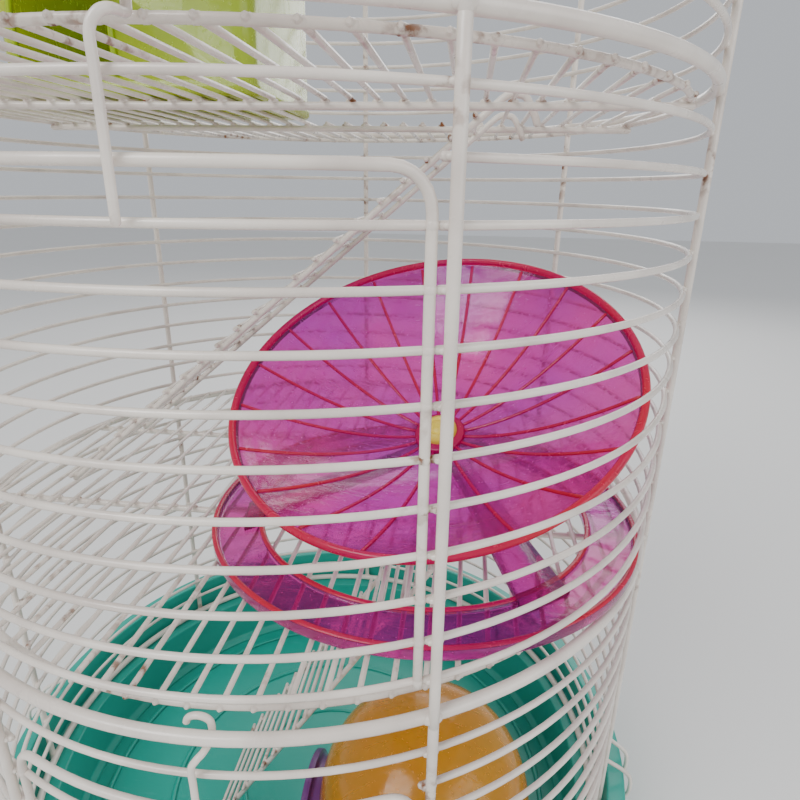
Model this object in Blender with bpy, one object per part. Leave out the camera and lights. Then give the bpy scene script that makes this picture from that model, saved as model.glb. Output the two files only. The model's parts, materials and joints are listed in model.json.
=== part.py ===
"""Round three-storey wire hamster cage on a plastic tray, with floors, ladders, doors, wheel and houses.

The origin is under the middle of the tray, +Z is up and the doors face -Y. Lengths are in metres. An azimuth is
measured from -Y towards +X.
"""

import math

import bmesh
import bpy
from mathutils import Matrix, Vector

# Driving dimensions of the wire cage
GAP = 0.0003
RING_PITCH = 0.011
STOREY_RINGS = 13
TOP_STOREY_RINGS = 9
WALL_RADIUS = 11.66 * RING_PITCH
BASE_RING_Z = 0.0320
POSTS = 7
POST_STEP = 2 * math.pi / POSTS
THIN_WIRE = 0.0019
THICK_WIRE = 0.0034
POST_WIRE = 0.0028

FLOOR_2_RING_Z = BASE_RING_Z + STOREY_RINGS * RING_PITCH
FLOOR_3_RING_Z = FLOOR_2_RING_Z + STOREY_RINGS * RING_PITCH
TOP_RING_Z = FLOOR_3_RING_Z + TOP_STOREY_RINGS * RING_PITCH

# Tray
TRAY_FLOOR = 0.0022
TRAY_LEDGE_Z = BASE_RING_Z - THICK_WIRE / 2 - GAP
TRAY_RIM_Z = 0.0473
TRAY_RADIUS = 0.1410

# Doors: a curved frame in the front bay of a storey, hinged at its left side
DOOR_WIRE = 0.0022
DOOR_EDGE = math.radians(24.1)
DOOR_FIRST_RING = 1
DOOR_LAST_RING = 10
DOOR_TOP_BELOW_RING = 0.14 * RING_PITCH
HINGE_LOOP_WIRE = 0.0010
HINGE_LOOP_SPREAD = 0.0046
HINGE_LOOP_HEIGHTS = (2.5 * RING_PITCH, 8.5 * RING_PITCH)

# Latch: a crooked wire bolt on each door that hooks behind the thick ring above
LATCH_WIRE = 0.0018
LATCH_AZIMUTH = math.radians(1.5)
LATCH_HALF_HOOK = 0.0030
LATCH_TAIL = 0.0330

# Wire floors and roof
DISC_RADIUS = 11.1 * RING_PITCH
DISC_RIM = 0.0018
BAR_WIRE = 0.0015
BAR_PITCH = 0.70 * RING_PITCH
BARS_EACH_SIDE = 15
BRACE_Y = 3.15 * RING_PITCH
BRACE_WIRE = 0.0026
FLOOR_2_Z = FLOOR_2_RING_Z + 0.27 * RING_PITCH
FLOOR_3_Z = FLOOR_3_RING_Z - 0.27 * RING_PITCH
ROOF_Z = TOP_RING_Z + THICK_WIRE / 2 + GAP + BAR_WIRE / 2
HATCH_LOW_BAR = -1
HATCH_HIGH_BAR = 9
HATCH_HALF_Y = BRACE_Y - BRACE_WIRE / 2

# Ladders, both the same piece, hooked over the bar at the right edge of a hatch
LADDER_WIRE = 0.0022
LADDER_RUNG = 0.0014
LADDER_HALF_WIDTHS = (2.25 * RING_PITCH, 2.45 * RING_PITCH)
LADDER_RUNG_PITCH = 0.0094
LADDER_RUNGS = 22
LADDER_LENGTH = 0.2090
LADDER_BAR_X = 6.30 * RING_PITCH
LADDER_SET_BACK = 0.0016
LADDER_MID_Y = (-0.0060, 0.0010)
LADDER_FOOT_CLEAR = 0.0012

# Saucer wheel on the second floor
STAND_X = 4.30 * RING_PITCH
STAND_Y = -2.70 * RING_PITCH
STAND_RADIUS = 0.0740
STAND_HOLE = 0.0570
STAND_HEIGHT = 0.0040
STAND_HOLE_HEIGHT = 0.0030
STAND_WALL = 0.0018
STAND_ARMS = (math.radians(-52), math.radians(74), math.radians(194))
ARM_DROP = 0.0085
ARM_START = 0.0032
ARM_LAP = 0.0100
ARM_END_Z = 0.0016
ARM_STAGGER = 0.0002
ARM_HALF_WIDTHS = (0.0050, 0.0090)
ARM_HALF_HEIGHTS = (0.0018, 0.0012)
RIM_CENTRE = Vector((4.29, -1.98, -8.13)) * RING_PITCH + Vector((0, 0, FLOOR_3_RING_Z))
WHEEL_AXIS = Vector((-0.147, -0.443, 0.884)).normalized()
WHEEL_RADIUS = 0.0715
WHEEL_DEPTH = 0.0310
WHEEL_WALL = 0.0018
WHEEL_BORE = 0.0031
AXLE_RADIUS = 0.0026
HUB_CAP_RADIUS = 0.0068
BOSS_RADIUS = 0.0062
BOSS_FOOT = -0.0105
BORE_FOOT = -0.0092

# Nest box on the third floor
NEST_SIZE = Vector((0.0800, 0.0680, 0.0560))
NEST_RIGHT_X = -0.5 * RING_PITCH
NEST_WALL = 0.0018
NEST_LID = 0.0036
NEST_LID_OVERHANG = 0.0010
NEST_LID_DROP = 0.0030
NEST_DOOR_HALF_WIDTH = 0.0150
NEST_DOOR_SPRING = 0.0160
NEST_DOOR_X = 0.0220
NEST_DOOR_Z = 0.0060

# Hideout on the tray
HIDE_X = 4.75 * RING_PITCH
HIDE_Y = -3.95 * RING_PITCH
HIDE_RADIUS = 0.0440
HIDE_HEIGHT = 0.0960
HIDE_WALL = 0.0020
HIDE_BASE = 0.0060
HIDE_FOOT = 0.0030
HIDE_FOOT_WIDTH = 0.0070
HIDE_FOOT_CLEAR = 0.0008
TUNNEL_RADIUS = 0.0230
TUNNEL_WALL = 0.0020
TUNNEL_INSIDE = 0.0080
TUNNEL_LENGTH = 0.0135
TUNNEL_FLANGE = 0.0030
TUNNEL_FLANGE_RADIUS = 0.0255

# Tray clips and carrying handle
CLIP_AZIMUTHS = (math.radians(84), math.radians(-84))
CLIP_WIRE = 0.0018
CLIP_HALF_WIDTH = 0.0060
HANDLE_WIRE = 0.0032
HANDLE_HALF_WIDTH = 0.0420
HANDLE_REACH = 0.0560
HANDLE_BEND = 0.0120
HANDLE_END = 0.0100
HANDLE_LIFT = 0.0010
HANDLE_EYE_INSET = 0.0050
HANDLE_EYE_WIRE = 0.0016


def material(name, colour, roughness, metallic=0.0):
    made = bpy.data.materials.new(name)
    made.use_nodes = True
    shader = made.node_tree.nodes["Principled BSDF"]
    shader.inputs["Base Color"].default_value = (*colour, 1.0)
    shader.inputs["Roughness"].default_value = roughness
    shader.inputs["Metallic"].default_value = metallic
    made.diffuse_color = (*colour, 1.0)
    return made


def piece(name, mesh_data, surface, origin=(0, 0, 0)):
    """An object whose mesh is given in world coordinates and whose origin goes to the given point."""
    bmesh.ops.recalc_face_normals(mesh_data, faces=mesh_data.faces)
    mesh = bpy.data.meshes.new(name)
    mesh_data.to_mesh(mesh)
    mesh_data.free()
    mesh.transform(Matrix.Translation(-Vector(origin)))
    mesh.materials.append(surface)
    made = bpy.data.objects.new(name, mesh)
    made.location = origin
    bpy.context.scene.collection.objects.link(made)
    mesh.shade_smooth()
    mesh.set_sharp_from_angle(angle=math.radians(40))
    return made


def round_place(radius):
    """Maps (azimuth, height, outward offset) onto a cylinder about the cage's axis."""

    def place(azimuth, height, outward):
        reach = radius + outward
        return Vector((reach * math.sin(azimuth), -reach * math.cos(azimuth), height))

    return place


def lattice(columns, rows, place, missing=()):
    """One closed body of crossing wires: rows cross columns, and place maps (across, up, outward) to a point.

    A column is (across, half width), with half width 0 where no upright stands; the first has an upright. A row
    is (up, half height, half depth). The rows in missing stop at the uprights.
    """
    mesh_data = bmesh.new()
    sections = []
    for across, half_width in columns:
        offsets = (-half_width, half_width) if half_width else (0.0,)
        sections.append([across + offset for offset in offsets])

    def has_stretch(row, column):
        return row not in missing and 0 <= column < len(columns) - 1

    corners = {}
    for row, (up, half_height, half_depth) in enumerate(rows):
        for column, section in enumerate(sections):
            used = columns[column][1] > 0 or has_stretch(row, column) or has_stretch(row, column - 1)
            for side, across in enumerate(section if used else ()):
                for high in (0, 1):
                    for out in (0, 1):
                        point = place(
                            across,
                            up + (2 * high - 1) * half_height,
                            (2 * out - 1) * half_depth,
                        )
                        corners[row, column, side, high, out] = mesh_data.verts.new(point)

    def quad(*keys):
        mesh_data.faces.new([corners[key] for key in keys])

    def loop(row, column, side):
        return [(row, column, side, high, out) for high, out in ((0, 0), (1, 0), (1, 1), (0, 1))]

    def skin(first, second):
        for index in range(4):
            after = (index + 1) % 4
            quad(first[index], first[after], second[after], second[index])

    for row in range(len(rows)):
        for column, (_, half_width) in enumerate(columns):
            last_side = len(sections[column]) - 1
            if has_stretch(row, column):
                skin(loop(row, column, last_side), loop(row, column + 1, 0))
            elif half_width or has_stretch(row, column - 1):
                quad(*loop(row, column, last_side))
            if not half_width:
                continue
            if not has_stretch(row, column - 1):
                quad(*loop(row, column, 0))
            for out in (0, 1):
                quad(*[(row, column, side, high, out) for side, high in ((0, 0), (1, 0), (1, 1), (0, 1))])
            ring_below = [(row, column, side, 0, out) for side, out in ((0, 0), (1, 0), (1, 1), (0, 1))]
            ring_above = [(row, column, side, 1, out) for side, out in ((0, 0), (1, 0), (1, 1), (0, 1))]
            if row == 0:
                quad(*ring_below)
            if row == len(rows) - 1:
                quad(*ring_above)
            else:
                next_below = [(row + 1, *key[1:3], 0, key[4]) for key in ring_below]
                skin(ring_above, next_below)
    return mesh_data


def tube(points, diameter, sides=6, closed=False):
    """A round wire along a polyline, with flat ends, or joined into a loop."""
    mesh_data = bmesh.new()
    points = [Vector(point) for point in points]
    count = len(points)
    tangents = []
    for index, point in enumerate(points):
        before = points[index - 1] if index or closed else point
        after = points[(index + 1) % count] if index < count - 1 or closed else point
        tangents.append((after - before).normalized())
    normal = tangents[0].orthogonal().normalized()
    rings = []
    for point, tangent in zip(points, tangents):
        normal = (normal - tangent * normal.dot(tangent)).normalized()
        side = tangent.cross(normal)
        ring = []
        for step in range(sides):
            angle = 2 * math.pi * step / sides
            ring.append(point + (normal * math.cos(angle) + side * math.sin(angle)) * diameter / 2)
        rings.append([mesh_data.verts.new(corner) for corner in ring])
    shift = 0
    if closed:
        offsets = [(rings[0][step].co - rings[-1][0].co).length for step in range(sides)]
        shift = offsets.index(min(offsets))
    for index in range(count if closed else count - 1):
        first = rings[index]
        second = rings[(index + 1) % count]
        turn = shift if index == count - 1 else 0
        for step in range(sides):
            after = (step + 1) % sides
            mesh_data.faces.new(
                (first[step], first[after], second[(after + turn) % sides], second[(step + turn) % sides])
            )
    if not closed:
        mesh_data.faces.new(rings[0])
        mesh_data.faces.new(rings[-1])
    return mesh_data


def arc(centre, first, second, steps, sweep=math.pi / 2):
    """Points on a round bend: centre + first cos + second sin, over the given sweep."""
    made = []
    for step in range(steps + 1):
        angle = sweep * step / steps
        made.append(Vector(centre) + Vector(first) * math.cos(angle) + Vector(second) * math.sin(angle))
    return made


def turned(profile, segments):
    """A solid of revolution about Z, from a closed outline of (radius, z), or one that starts and ends on it."""
    mesh_data = bmesh.new()
    rings = []
    for radius, z in profile:
        if radius == 0:
            rings.append([mesh_data.verts.new((0, 0, z))])
            continue
        angles = [2 * math.pi * step / segments for step in range(segments)]
        rings.append([mesh_data.verts.new((radius * math.sin(a), -radius * math.cos(a), z)) for a in angles])
    on_axis = len(rings[0]) == 1
    pairs = len(rings) - 1 if on_axis else len(rings)
    for index in range(pairs):
        first = rings[index]
        second = rings[(index + 1) % len(rings)]
        for step in range(segments):
            after = (step + 1) % segments
            corners = [first[step % len(first)], first[after % len(first)]]
            corners += [second[after % len(second)], second[step % len(second)]]
            mesh_data.faces.new(list(dict.fromkeys(corners)))
    return mesh_data


def block(low, high):
    mesh_data = bmesh.new()
    bmesh.ops.create_cube(mesh_data, size=1)
    low = Vector(low)
    high = Vector(high)
    for vertex in mesh_data.verts:
        for axis in range(3):
            vertex.co[axis] = (low[axis] + high[axis]) / 2 + vertex.co[axis] * (high[axis] - low[axis])
    return mesh_data


def arch_prism(width, spring, depth, steps=8):
    """A doorway cutter: an arch standing on z = 0 and pushed along Y from -depth to +depth."""
    outline = [Vector((-width, 0, 0)), Vector((width, 0, 0))]
    outline += arc((0, 0, spring), (width, 0, 0), (0, 0, width), steps, math.pi)
    mesh_data = bmesh.new()
    front = [mesh_data.verts.new(point + Vector((0, -depth, 0))) for point in outline]
    back = [mesh_data.verts.new(point + Vector((0, depth, 0))) for point in outline]
    mesh_data.faces.new(front)
    mesh_data.faces.new(back)
    for index in range(len(outline)):
        after = (index + 1) % len(outline)
        mesh_data.faces.new((front[index], front[after], back[after], back[index]))
    return mesh_data


def helper(name, mesh_data, surface):
    made = piece(name, mesh_data, surface)
    made.hide_render = True
    made.display_type = "WIRE"
    return made


def boolean(target, other, operation):
    modifier = target.modifiers.new(other.name, "BOOLEAN")
    modifier.operation = operation
    modifier.object = other
    modifier.solver = "EXACT"


def wall(storey, foot_ring_z, rings, surface, doorway=(), top_ring=False):
    """One storey of wall, in bays: each is a post, and the wires that run from it to just short of the next."""
    rows = [(foot_ring_z, THICK_WIRE / 2, THICK_WIRE / 2)]
    for ring in range(1, rings):
        rows.append((foot_ring_z + ring * RING_PITCH, THIN_WIRE / 2, THIN_WIRE / 2))
    if top_ring:
        rows.append((foot_ring_z + rings * RING_PITCH, THICK_WIRE / 2, THICK_WIRE / 2))
    half_post = POST_WIRE / 2 / WALL_RADIUS
    reach = POST_STEP - half_post - GAP / WALL_RADIUS
    for bay in range(POSTS):
        is_front = bay == POSTS - 1
        post = POST_STEP * (bay + 0.5)
        middle = post + POST_STEP / 2 + (LATCH_AZIMUTH if is_front else 0)
        columns = [(post, half_post), (middle, 0.0), (post + reach, 0.0)]
        missing = doorway if is_front else ()
        bay_wires = lattice(columns, rows, round_place(WALL_RADIUS), missing)
        piece(f"wall_{storey}_bay_{bay + 1}", bay_wires, surface)


def make_walls(surface):
    doorway = range(DOOR_FIRST_RING, DOOR_LAST_RING + 2)
    wall("lower", BASE_RING_Z, STOREY_RINGS, surface, doorway[1:])
    wall("middle", FLOOR_2_RING_Z, STOREY_RINGS, surface, doorway)
    wall("upper", FLOOR_3_RING_Z, TOP_STOREY_RINGS, surface, top_ring=True)


def make_tray(surface):
    wall_top = TRAY_RIM_Z - 0.0023
    profile = [
        (0, 0),
        (0.1180, 0),
        (0.1225, 0.0040),
        (0.1240, TRAY_LEDGE_Z - TRAY_FLOOR),
        (0.1345, TRAY_LEDGE_Z - TRAY_FLOOR),
        (0.1355, wall_top),
        (0.1390, wall_top),
        (0.1390, TRAY_RIM_Z - 0.0073),
        (TRAY_RADIUS, TRAY_RIM_Z - 0.0073),
        (TRAY_RADIUS, TRAY_RIM_Z),
        (0.1334, TRAY_RIM_Z),
        (0.1324, TRAY_LEDGE_Z),
        (0.1218, TRAY_LEDGE_Z),
        (0.1203, 0.0050),
        (0.1170, TRAY_FLOOR),
        (0, TRAY_FLOOR),
    ]
    piece("tray", turned(profile, 36), surface)


def door_hinge_line():
    """Where the door's left upright stands: its axis is the hinge."""
    return round_place(WALL_RADIUS)(-DOOR_EDGE, 0, 0)


def make_door(name, foot_ring_z, first_ring, surface, brass):
    """A curved door frame with its bars, its wire latch, and the two loops that hang it on the left post."""
    top_z = foot_ring_z + (DOOR_LAST_RING + 1) * RING_PITCH - DOOR_TOP_BELOW_RING
    half_width = DOOR_WIRE / 2 / WALL_RADIUS
    columns = [(-DOOR_EDGE, half_width), (-DOOR_EDGE / 3, 0.0), (DOOR_EDGE / 3, 0.0), (DOOR_EDGE, half_width)]
    rows = []
    for ring in range(first_ring, DOOR_LAST_RING + 1):
        rows.append((foot_ring_z + ring * RING_PITCH, THIN_WIRE / 2, THIN_WIRE / 2))
    rows.append((top_z, DOOR_WIRE / 2, DOOR_WIRE / 2))
    hinge = door_hinge_line()
    hinge.z = top_z - (DOOR_LAST_RING - first_ring + 1) * RING_PITCH / 2
    piece(name, lattice(columns, rows, round_place(WALL_RADIUS)), surface, hinge)
    make_latch(name + "_latch", foot_ring_z, surface)
    post = round_place(WALL_RADIUS)(-POST_STEP / 2, 0, 0)
    middle = (post + hinge) / 2
    along = hinge - post
    along.z = 0
    along.normalize()
    outward = Vector((-along.y, along.x, 0))
    for index, height in enumerate(HINGE_LOOP_HEIGHTS):
        centre = Vector((middle.x, middle.y, foot_ring_z + height))
        points = []
        for step in range(12):
            angle = 2 * math.pi * step / 12
            points.append(
                centre
                + along * math.cos(angle) * HINGE_LOOP_SPREAD
                + outward * math.sin(angle) * HINGE_LOOP_SPREAD * 0.62
            )
        piece(f"{name}_hinge_loop_{index + 1}", tube(points, HINGE_LOOP_WIRE, 5, True), brass)


def make_latch(name, foot_ring_z, surface):
    """A crook of wire that runs up in front of the wall, steps inwards and curls over behind the thick ring."""
    ring_z = foot_ring_z + STOREY_RINGS * RING_PITCH
    front = WALL_RADIUS + THIN_WIRE / 2 + GAP * 2 + LATCH_WIRE / 2
    behind = WALL_RADIUS - THICK_WIRE / 2 - GAP * 3 - LATCH_WIRE / 2
    path = [
        (0.0, front, -LATCH_TAIL),
        (0.0, front, -0.0062),
        (0.4 * LATCH_HALF_HOOK, front - 0.0004, -0.0041),
        (0.8 * LATCH_HALF_HOOK, front - 0.0018, -0.0033),
        (LATCH_HALF_HOOK, behind + 0.0008, -0.0031),
        (LATCH_HALF_HOOK, behind, -0.0018),
    ]
    for step in range(5):
        angle = math.pi * step / 4
        path.append((LATCH_HALF_HOOK * math.cos(angle), behind, 0.0004 + 0.0022 * math.sin(angle)))
    points = []
    for sideways, reach, z in path:
        points.append(round_place(reach)(LATCH_AZIMUTH + sideways / WALL_RADIUS, ring_z + z, 0))
    piece(name, tube(points, LATCH_WIRE, 6), surface, points[0])


def wire_disc(name, z, surface, hatch):
    """A round floor of parallel bars in a rim, with or without a ladder hatch, and two braces under it."""
    inside = DISC_RADIUS - DISC_RIM / 2
    half_bar = BAR_WIRE / 2
    slots = bmesh.new()
    for index in range(-BARS_EACH_SIDE - 1, BARS_EACH_SIDE + 1):
        low = index * BAR_PITCH + half_bar
        high = (index + 1) * BAR_PITCH - half_bar
        reach = math.sqrt(max(inside**2 - min(abs(low), abs(high)) ** 2, 0))
        if reach < 0.006:
            continue
        far = math.sqrt(max(inside**2 - max(abs(low), abs(high)) ** 2, 0))
        near_x, far_x = (low, high) if abs(low) < abs(high) else (high, low)
        outline = [(near_x, -reach), (far_x, -far), (far_x, far), (near_x, reach)]
        if far < 0.0005:
            outline = [(near_x, -reach), (far_x, 0), (near_x, reach)]
        below = [slots.verts.new((x, y, z - BAR_WIRE)) for x, y in outline]
        above = [slots.verts.new((x, y, z + BAR_WIRE)) for x, y in outline]
        slots.faces.new(below)
        slots.faces.new(above)
        for corner in range(len(outline)):
            after = (corner + 1) % len(outline)
            slots.faces.new((below[corner], below[after], above[after], above[corner]))
    disc_profile = [(0, z - half_bar), (DISC_RADIUS + DISC_RIM / 2, z - half_bar)]
    disc_profile += [(DISC_RADIUS + DISC_RIM / 2, z + half_bar), (0, z + half_bar)]
    disc = piece(name, turned(disc_profile, 42), surface)
    boolean(disc, helper(name + "_slots", slots, surface), "DIFFERENCE")
    if hatch:
        low_x = HATCH_LOW_BAR * BAR_PITCH + half_bar
        high_x = HATCH_HIGH_BAR * BAR_PITCH - half_bar
        cutter = block((low_x, -HATCH_HALF_Y, z - 0.003), (high_x, HATCH_HALF_Y, z + 0.003))
        boolean(disc, helper(name + "_hatch", cutter, surface), "DIFFERENCE")
    brace_z = z - half_bar - GAP - BRACE_WIRE / 2
    reach = WALL_RADIUS * math.cos(POST_STEP / 4) - THICK_WIRE / 2 - GAP
    half_length = math.sqrt(reach**2 - (BRACE_Y + BRACE_WIRE / 2) ** 2)
    for side, y in (("front", -BRACE_Y), ("back", BRACE_Y)):
        ends = [(-half_length, y, brace_z), (half_length, y, brace_z)]
        piece(f"{name}_brace_{side}", tube(ends, BRACE_WIRE, 8), surface)


def make_ladder(name, hatch_z, floor_z, mid_y, half_width, surface):
    """Two rails with rungs across, and rails bent over the hatch's edge bar. Its origin is on that bar."""
    pivot = Vector((LADDER_BAR_X, mid_y, hatch_z))
    rail_top_z = hatch_z + BAR_WIRE / 2 + GAP + LADDER_WIRE / 2
    drop = rail_top_z - floor_z - LADDER_FOOT_CLEAR - LADDER_WIRE / 2
    lean = math.asin(drop / LADDER_LENGTH)
    up = Vector((math.cos(lean), 0, math.sin(lean)))
    outward = Vector((-math.sin(lean), 0, math.cos(lean)))
    top = Vector((LADDER_BAR_X - LADDER_SET_BACK, mid_y, rail_top_z))
    foot = top - up * LADDER_LENGTH

    def place(across, along, off):
        return foot + Vector((0, across, 0)) + up * along + outward * off

    half = LADDER_WIRE / 2
    columns = [(-half_width, half), (half_width, half)]
    rows = []
    for rung in range(LADDER_RUNGS):
        rows.append((LADDER_RUNG + rung * LADDER_RUNG_PITCH, LADDER_RUNG / 2, half))
    rows.append((LADDER_LENGTH - LADDER_RUNG / 2, LADDER_RUNG / 2, half))
    body = piece(name, lattice(columns, rows, place), surface, pivot)
    for index, side in enumerate((-1, 1)):
        rail_y = mid_y + side * half_width
        hook = [top + Vector((0, side * half_width, 0)) - up * 0.006]
        hook.append(top + Vector((0.0004, side * half_width, 0)))
        hook.append(Vector((LADDER_BAR_X + 0.0042, rail_y, rail_top_z - 0.0004)))
        hook.append(Vector((LADDER_BAR_X + 0.0070, rail_y, rail_top_z - 0.0052)))
        hook.append(Vector((LADDER_BAR_X + 0.0080, rail_y, rail_top_z - 0.0078)))
        union = helper(f"{name}_hook_{index + 1}", tube(hook, LADDER_WIRE * 0.94, 6), surface)
        boolean(body, union, "UNION")


def about_axis(mesh_data, origin, axis):
    """Turns a mesh made about Z so that Z lies along axis, and moves it to origin."""
    turn = Vector((0, 0, 1)).rotation_difference(axis).to_matrix().to_4x4()
    mesh_data.transform(Matrix.Translation(origin) @ turn)
    return mesh_data


def bowl_depth(radius):
    """Depth of the saucer's inner face below its rim: nearly a cone, rounded into the rim."""
    share = min(max((radius - HUB_CAP_RADIUS) / (WHEEL_RADIUS - HUB_CAP_RADIUS), 0), 1)
    return WHEEL_DEPTH * (1 - share**1.7)


def make_wheel(pink, yellow, steel):
    hub = RIM_CENTRE - WHEEL_AXIS * WHEEL_DEPTH
    stations = [WHEEL_BORE] + [WHEEL_RADIUS * share for share in (0.12, 0.3, 0.48, 0.64, 0.78, 0.9, 0.985)]
    inner = [(radius, WHEEL_DEPTH - bowl_depth(radius)) for radius in stations]
    outer = [(radius, z - WHEEL_WALL) for radius, z in inner]
    rim = [(WHEEL_RADIUS + 0.0006, WHEEL_DEPTH - 0.0022), (WHEEL_RADIUS + 0.0012, WHEEL_DEPTH)]
    rim.append((WHEEL_RADIUS, WHEEL_DEPTH + 0.0016))
    profile = outer + rim + inner[::-1]
    piece("wheel_saucer", about_axis(turned(profile, 30), hub, WHEEL_AXIS), pink, hub)
    cap_low = 0.0006
    cap = [(0, cap_low), (HUB_CAP_RADIUS, cap_low), (HUB_CAP_RADIUS, 0.0034), (0.0048, 0.0052), (0, 0.0058)]
    piece("wheel_hub_cap", about_axis(turned(cap, 20), hub, WHEEL_AXIS), yellow, hub)
    boss_top = -WHEEL_WALL - 0.0006
    floor_top = FLOOR_2_Z + BAR_WIRE / 2 + GAP
    make_stand(pink, hub, boss_top, floor_top)
    pin = [(0, BORE_FOOT + GAP), (AXLE_RADIUS, BORE_FOOT + GAP)]
    pin += [(AXLE_RADIUS, cap_low - GAP), (0, cap_low - GAP)]
    piece("wheel_axle", about_axis(turned(pin, 16), hub, WHEEL_AXIS), steel, hub)


def make_stand(pink, hub, boss_top, floor_top):
    """A ring base with an upturned edge, three arms, and a tilted boss that holds the axle."""
    centre = Vector((STAND_X, STAND_Y, floor_top))
    low = STAND_WALL
    ring = [(STAND_HOLE, 0), (STAND_RADIUS, 0), (STAND_RADIUS, STAND_HEIGHT)]
    ring += [(STAND_RADIUS - STAND_WALL, STAND_HEIGHT), (STAND_RADIUS - STAND_WALL, low)]
    ring += [(STAND_HOLE + STAND_WALL, low), (STAND_HOLE + STAND_WALL, STAND_HOLE_HEIGHT)]
    ring += [(STAND_HOLE, STAND_HOLE_HEIGHT)]
    mesh_data = turned(ring, 36)
    mesh_data.transform(Matrix.Translation(centre))
    stand = piece("wheel_stand", mesh_data, pink, centre)
    boss_profile = [(0, BOSS_FOOT), (BOSS_RADIUS, BOSS_FOOT), (0.8 * BOSS_RADIUS, boss_top), (0, boss_top)]
    boss = about_axis(turned(boss_profile, 20), hub, WHEEL_AXIS)
    joint = hub - WHEEL_AXIS * ARM_DROP
    for index, azimuth in enumerate(STAND_ARMS):
        outward = Vector((math.cos(azimuth), math.sin(azimuth), 0))
        across = Vector((-outward.y, outward.x, 0))
        inner_end = joint + outward * (ARM_START + ARM_STAGGER * index)
        outer_end = centre + outward * (STAND_HOLE + ARM_LAP) + Vector((0, 0, ARM_END_Z))
        arm = bmesh.new()
        loops = []
        root_height = ARM_HALF_HEIGHTS[0] + ARM_STAGGER * index
        sections = (
            (inner_end, ARM_HALF_WIDTHS[0], root_height),
            (outer_end, ARM_HALF_WIDTHS[1], ARM_HALF_HEIGHTS[1]),
        )
        for end, half_width, half_height in sections:
            loop = []
            for side, high in ((-1, -1), (1, -1), (1, 1), (-1, 1)):
                corner = end + across * side * half_width + Vector((0, 0, high * half_height))
                loop.append(arm.verts.new(corner))
            loops.append(loop)
        arm.faces.new(loops[0])
        arm.faces.new(loops[1])
        for corner in range(4):
            after = (corner + 1) % 4
            arm.faces.new((loops[0][corner], loops[0][after], loops[1][after], loops[1][corner]))
        boolean(stand, helper(f"stand_arm_{index + 1}", arm, pink), "UNION")
    boolean(stand, helper("stand_boss", boss, pink), "UNION")
    bore_top = -BORE_FOOT
    bore = [(0, BORE_FOOT), (AXLE_RADIUS + GAP, BORE_FOOT), (AXLE_RADIUS + GAP, bore_top), (0, bore_top)]
    boolean(stand, helper("stand_bore", about_axis(turned(bore, 16), hub, WHEEL_AXIS), pink), "DIFFERENCE")


def make_nest_box(lime):
    """An open-topped box with an arched doorway in its front, and a lid with a rim that drops inside."""
    floor_top = FLOOR_3_Z + BAR_WIRE / 2 + GAP
    low = Vector((NEST_RIGHT_X - NEST_SIZE.x, -NEST_SIZE.y / 2, floor_top))
    high = low + NEST_SIZE
    inset = Vector((NEST_WALL, NEST_WALL, NEST_WALL))
    box = piece("nest_box", block(low, high), lime, (low + high) / 2)
    hollow_top = high - inset + Vector((0, 0, 0.02))
    boolean(box, helper("nest_box_hollow", block(low + inset, hollow_top), lime), "DIFFERENCE")
    door = arch_prism(NEST_DOOR_HALF_WIDTH, NEST_DOOR_SPRING, 0.010)
    door.transform(Matrix.Translation((low.x + NEST_DOOR_X, low.y, low.z + NEST_DOOR_Z)))
    boolean(box, helper("nest_box_door", door, lime), "DIFFERENCE")
    overhang = Vector((NEST_LID_OVERHANG, NEST_LID_OVERHANG, 0))
    lid_low = Vector((low.x, low.y, high.z + GAP)) - overhang
    lid_high = high + overhang + Vector((0, 0, GAP + NEST_LID))
    lid = piece("nest_box_lid", block(lid_low, lid_high), lime, (lid_low + lid_high) / 2)
    clear = Vector((NEST_WALL + GAP, NEST_WALL + GAP, 0))
    rim_low = Vector((low.x, low.y, high.z - NEST_LID_DROP)) + clear
    rim_high = Vector((high.x, high.y, lid_low.z + 0.001)) - clear
    boolean(lid, helper("nest_box_lid_rim", block(rim_low, rim_high), lime), "UNION")


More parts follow.
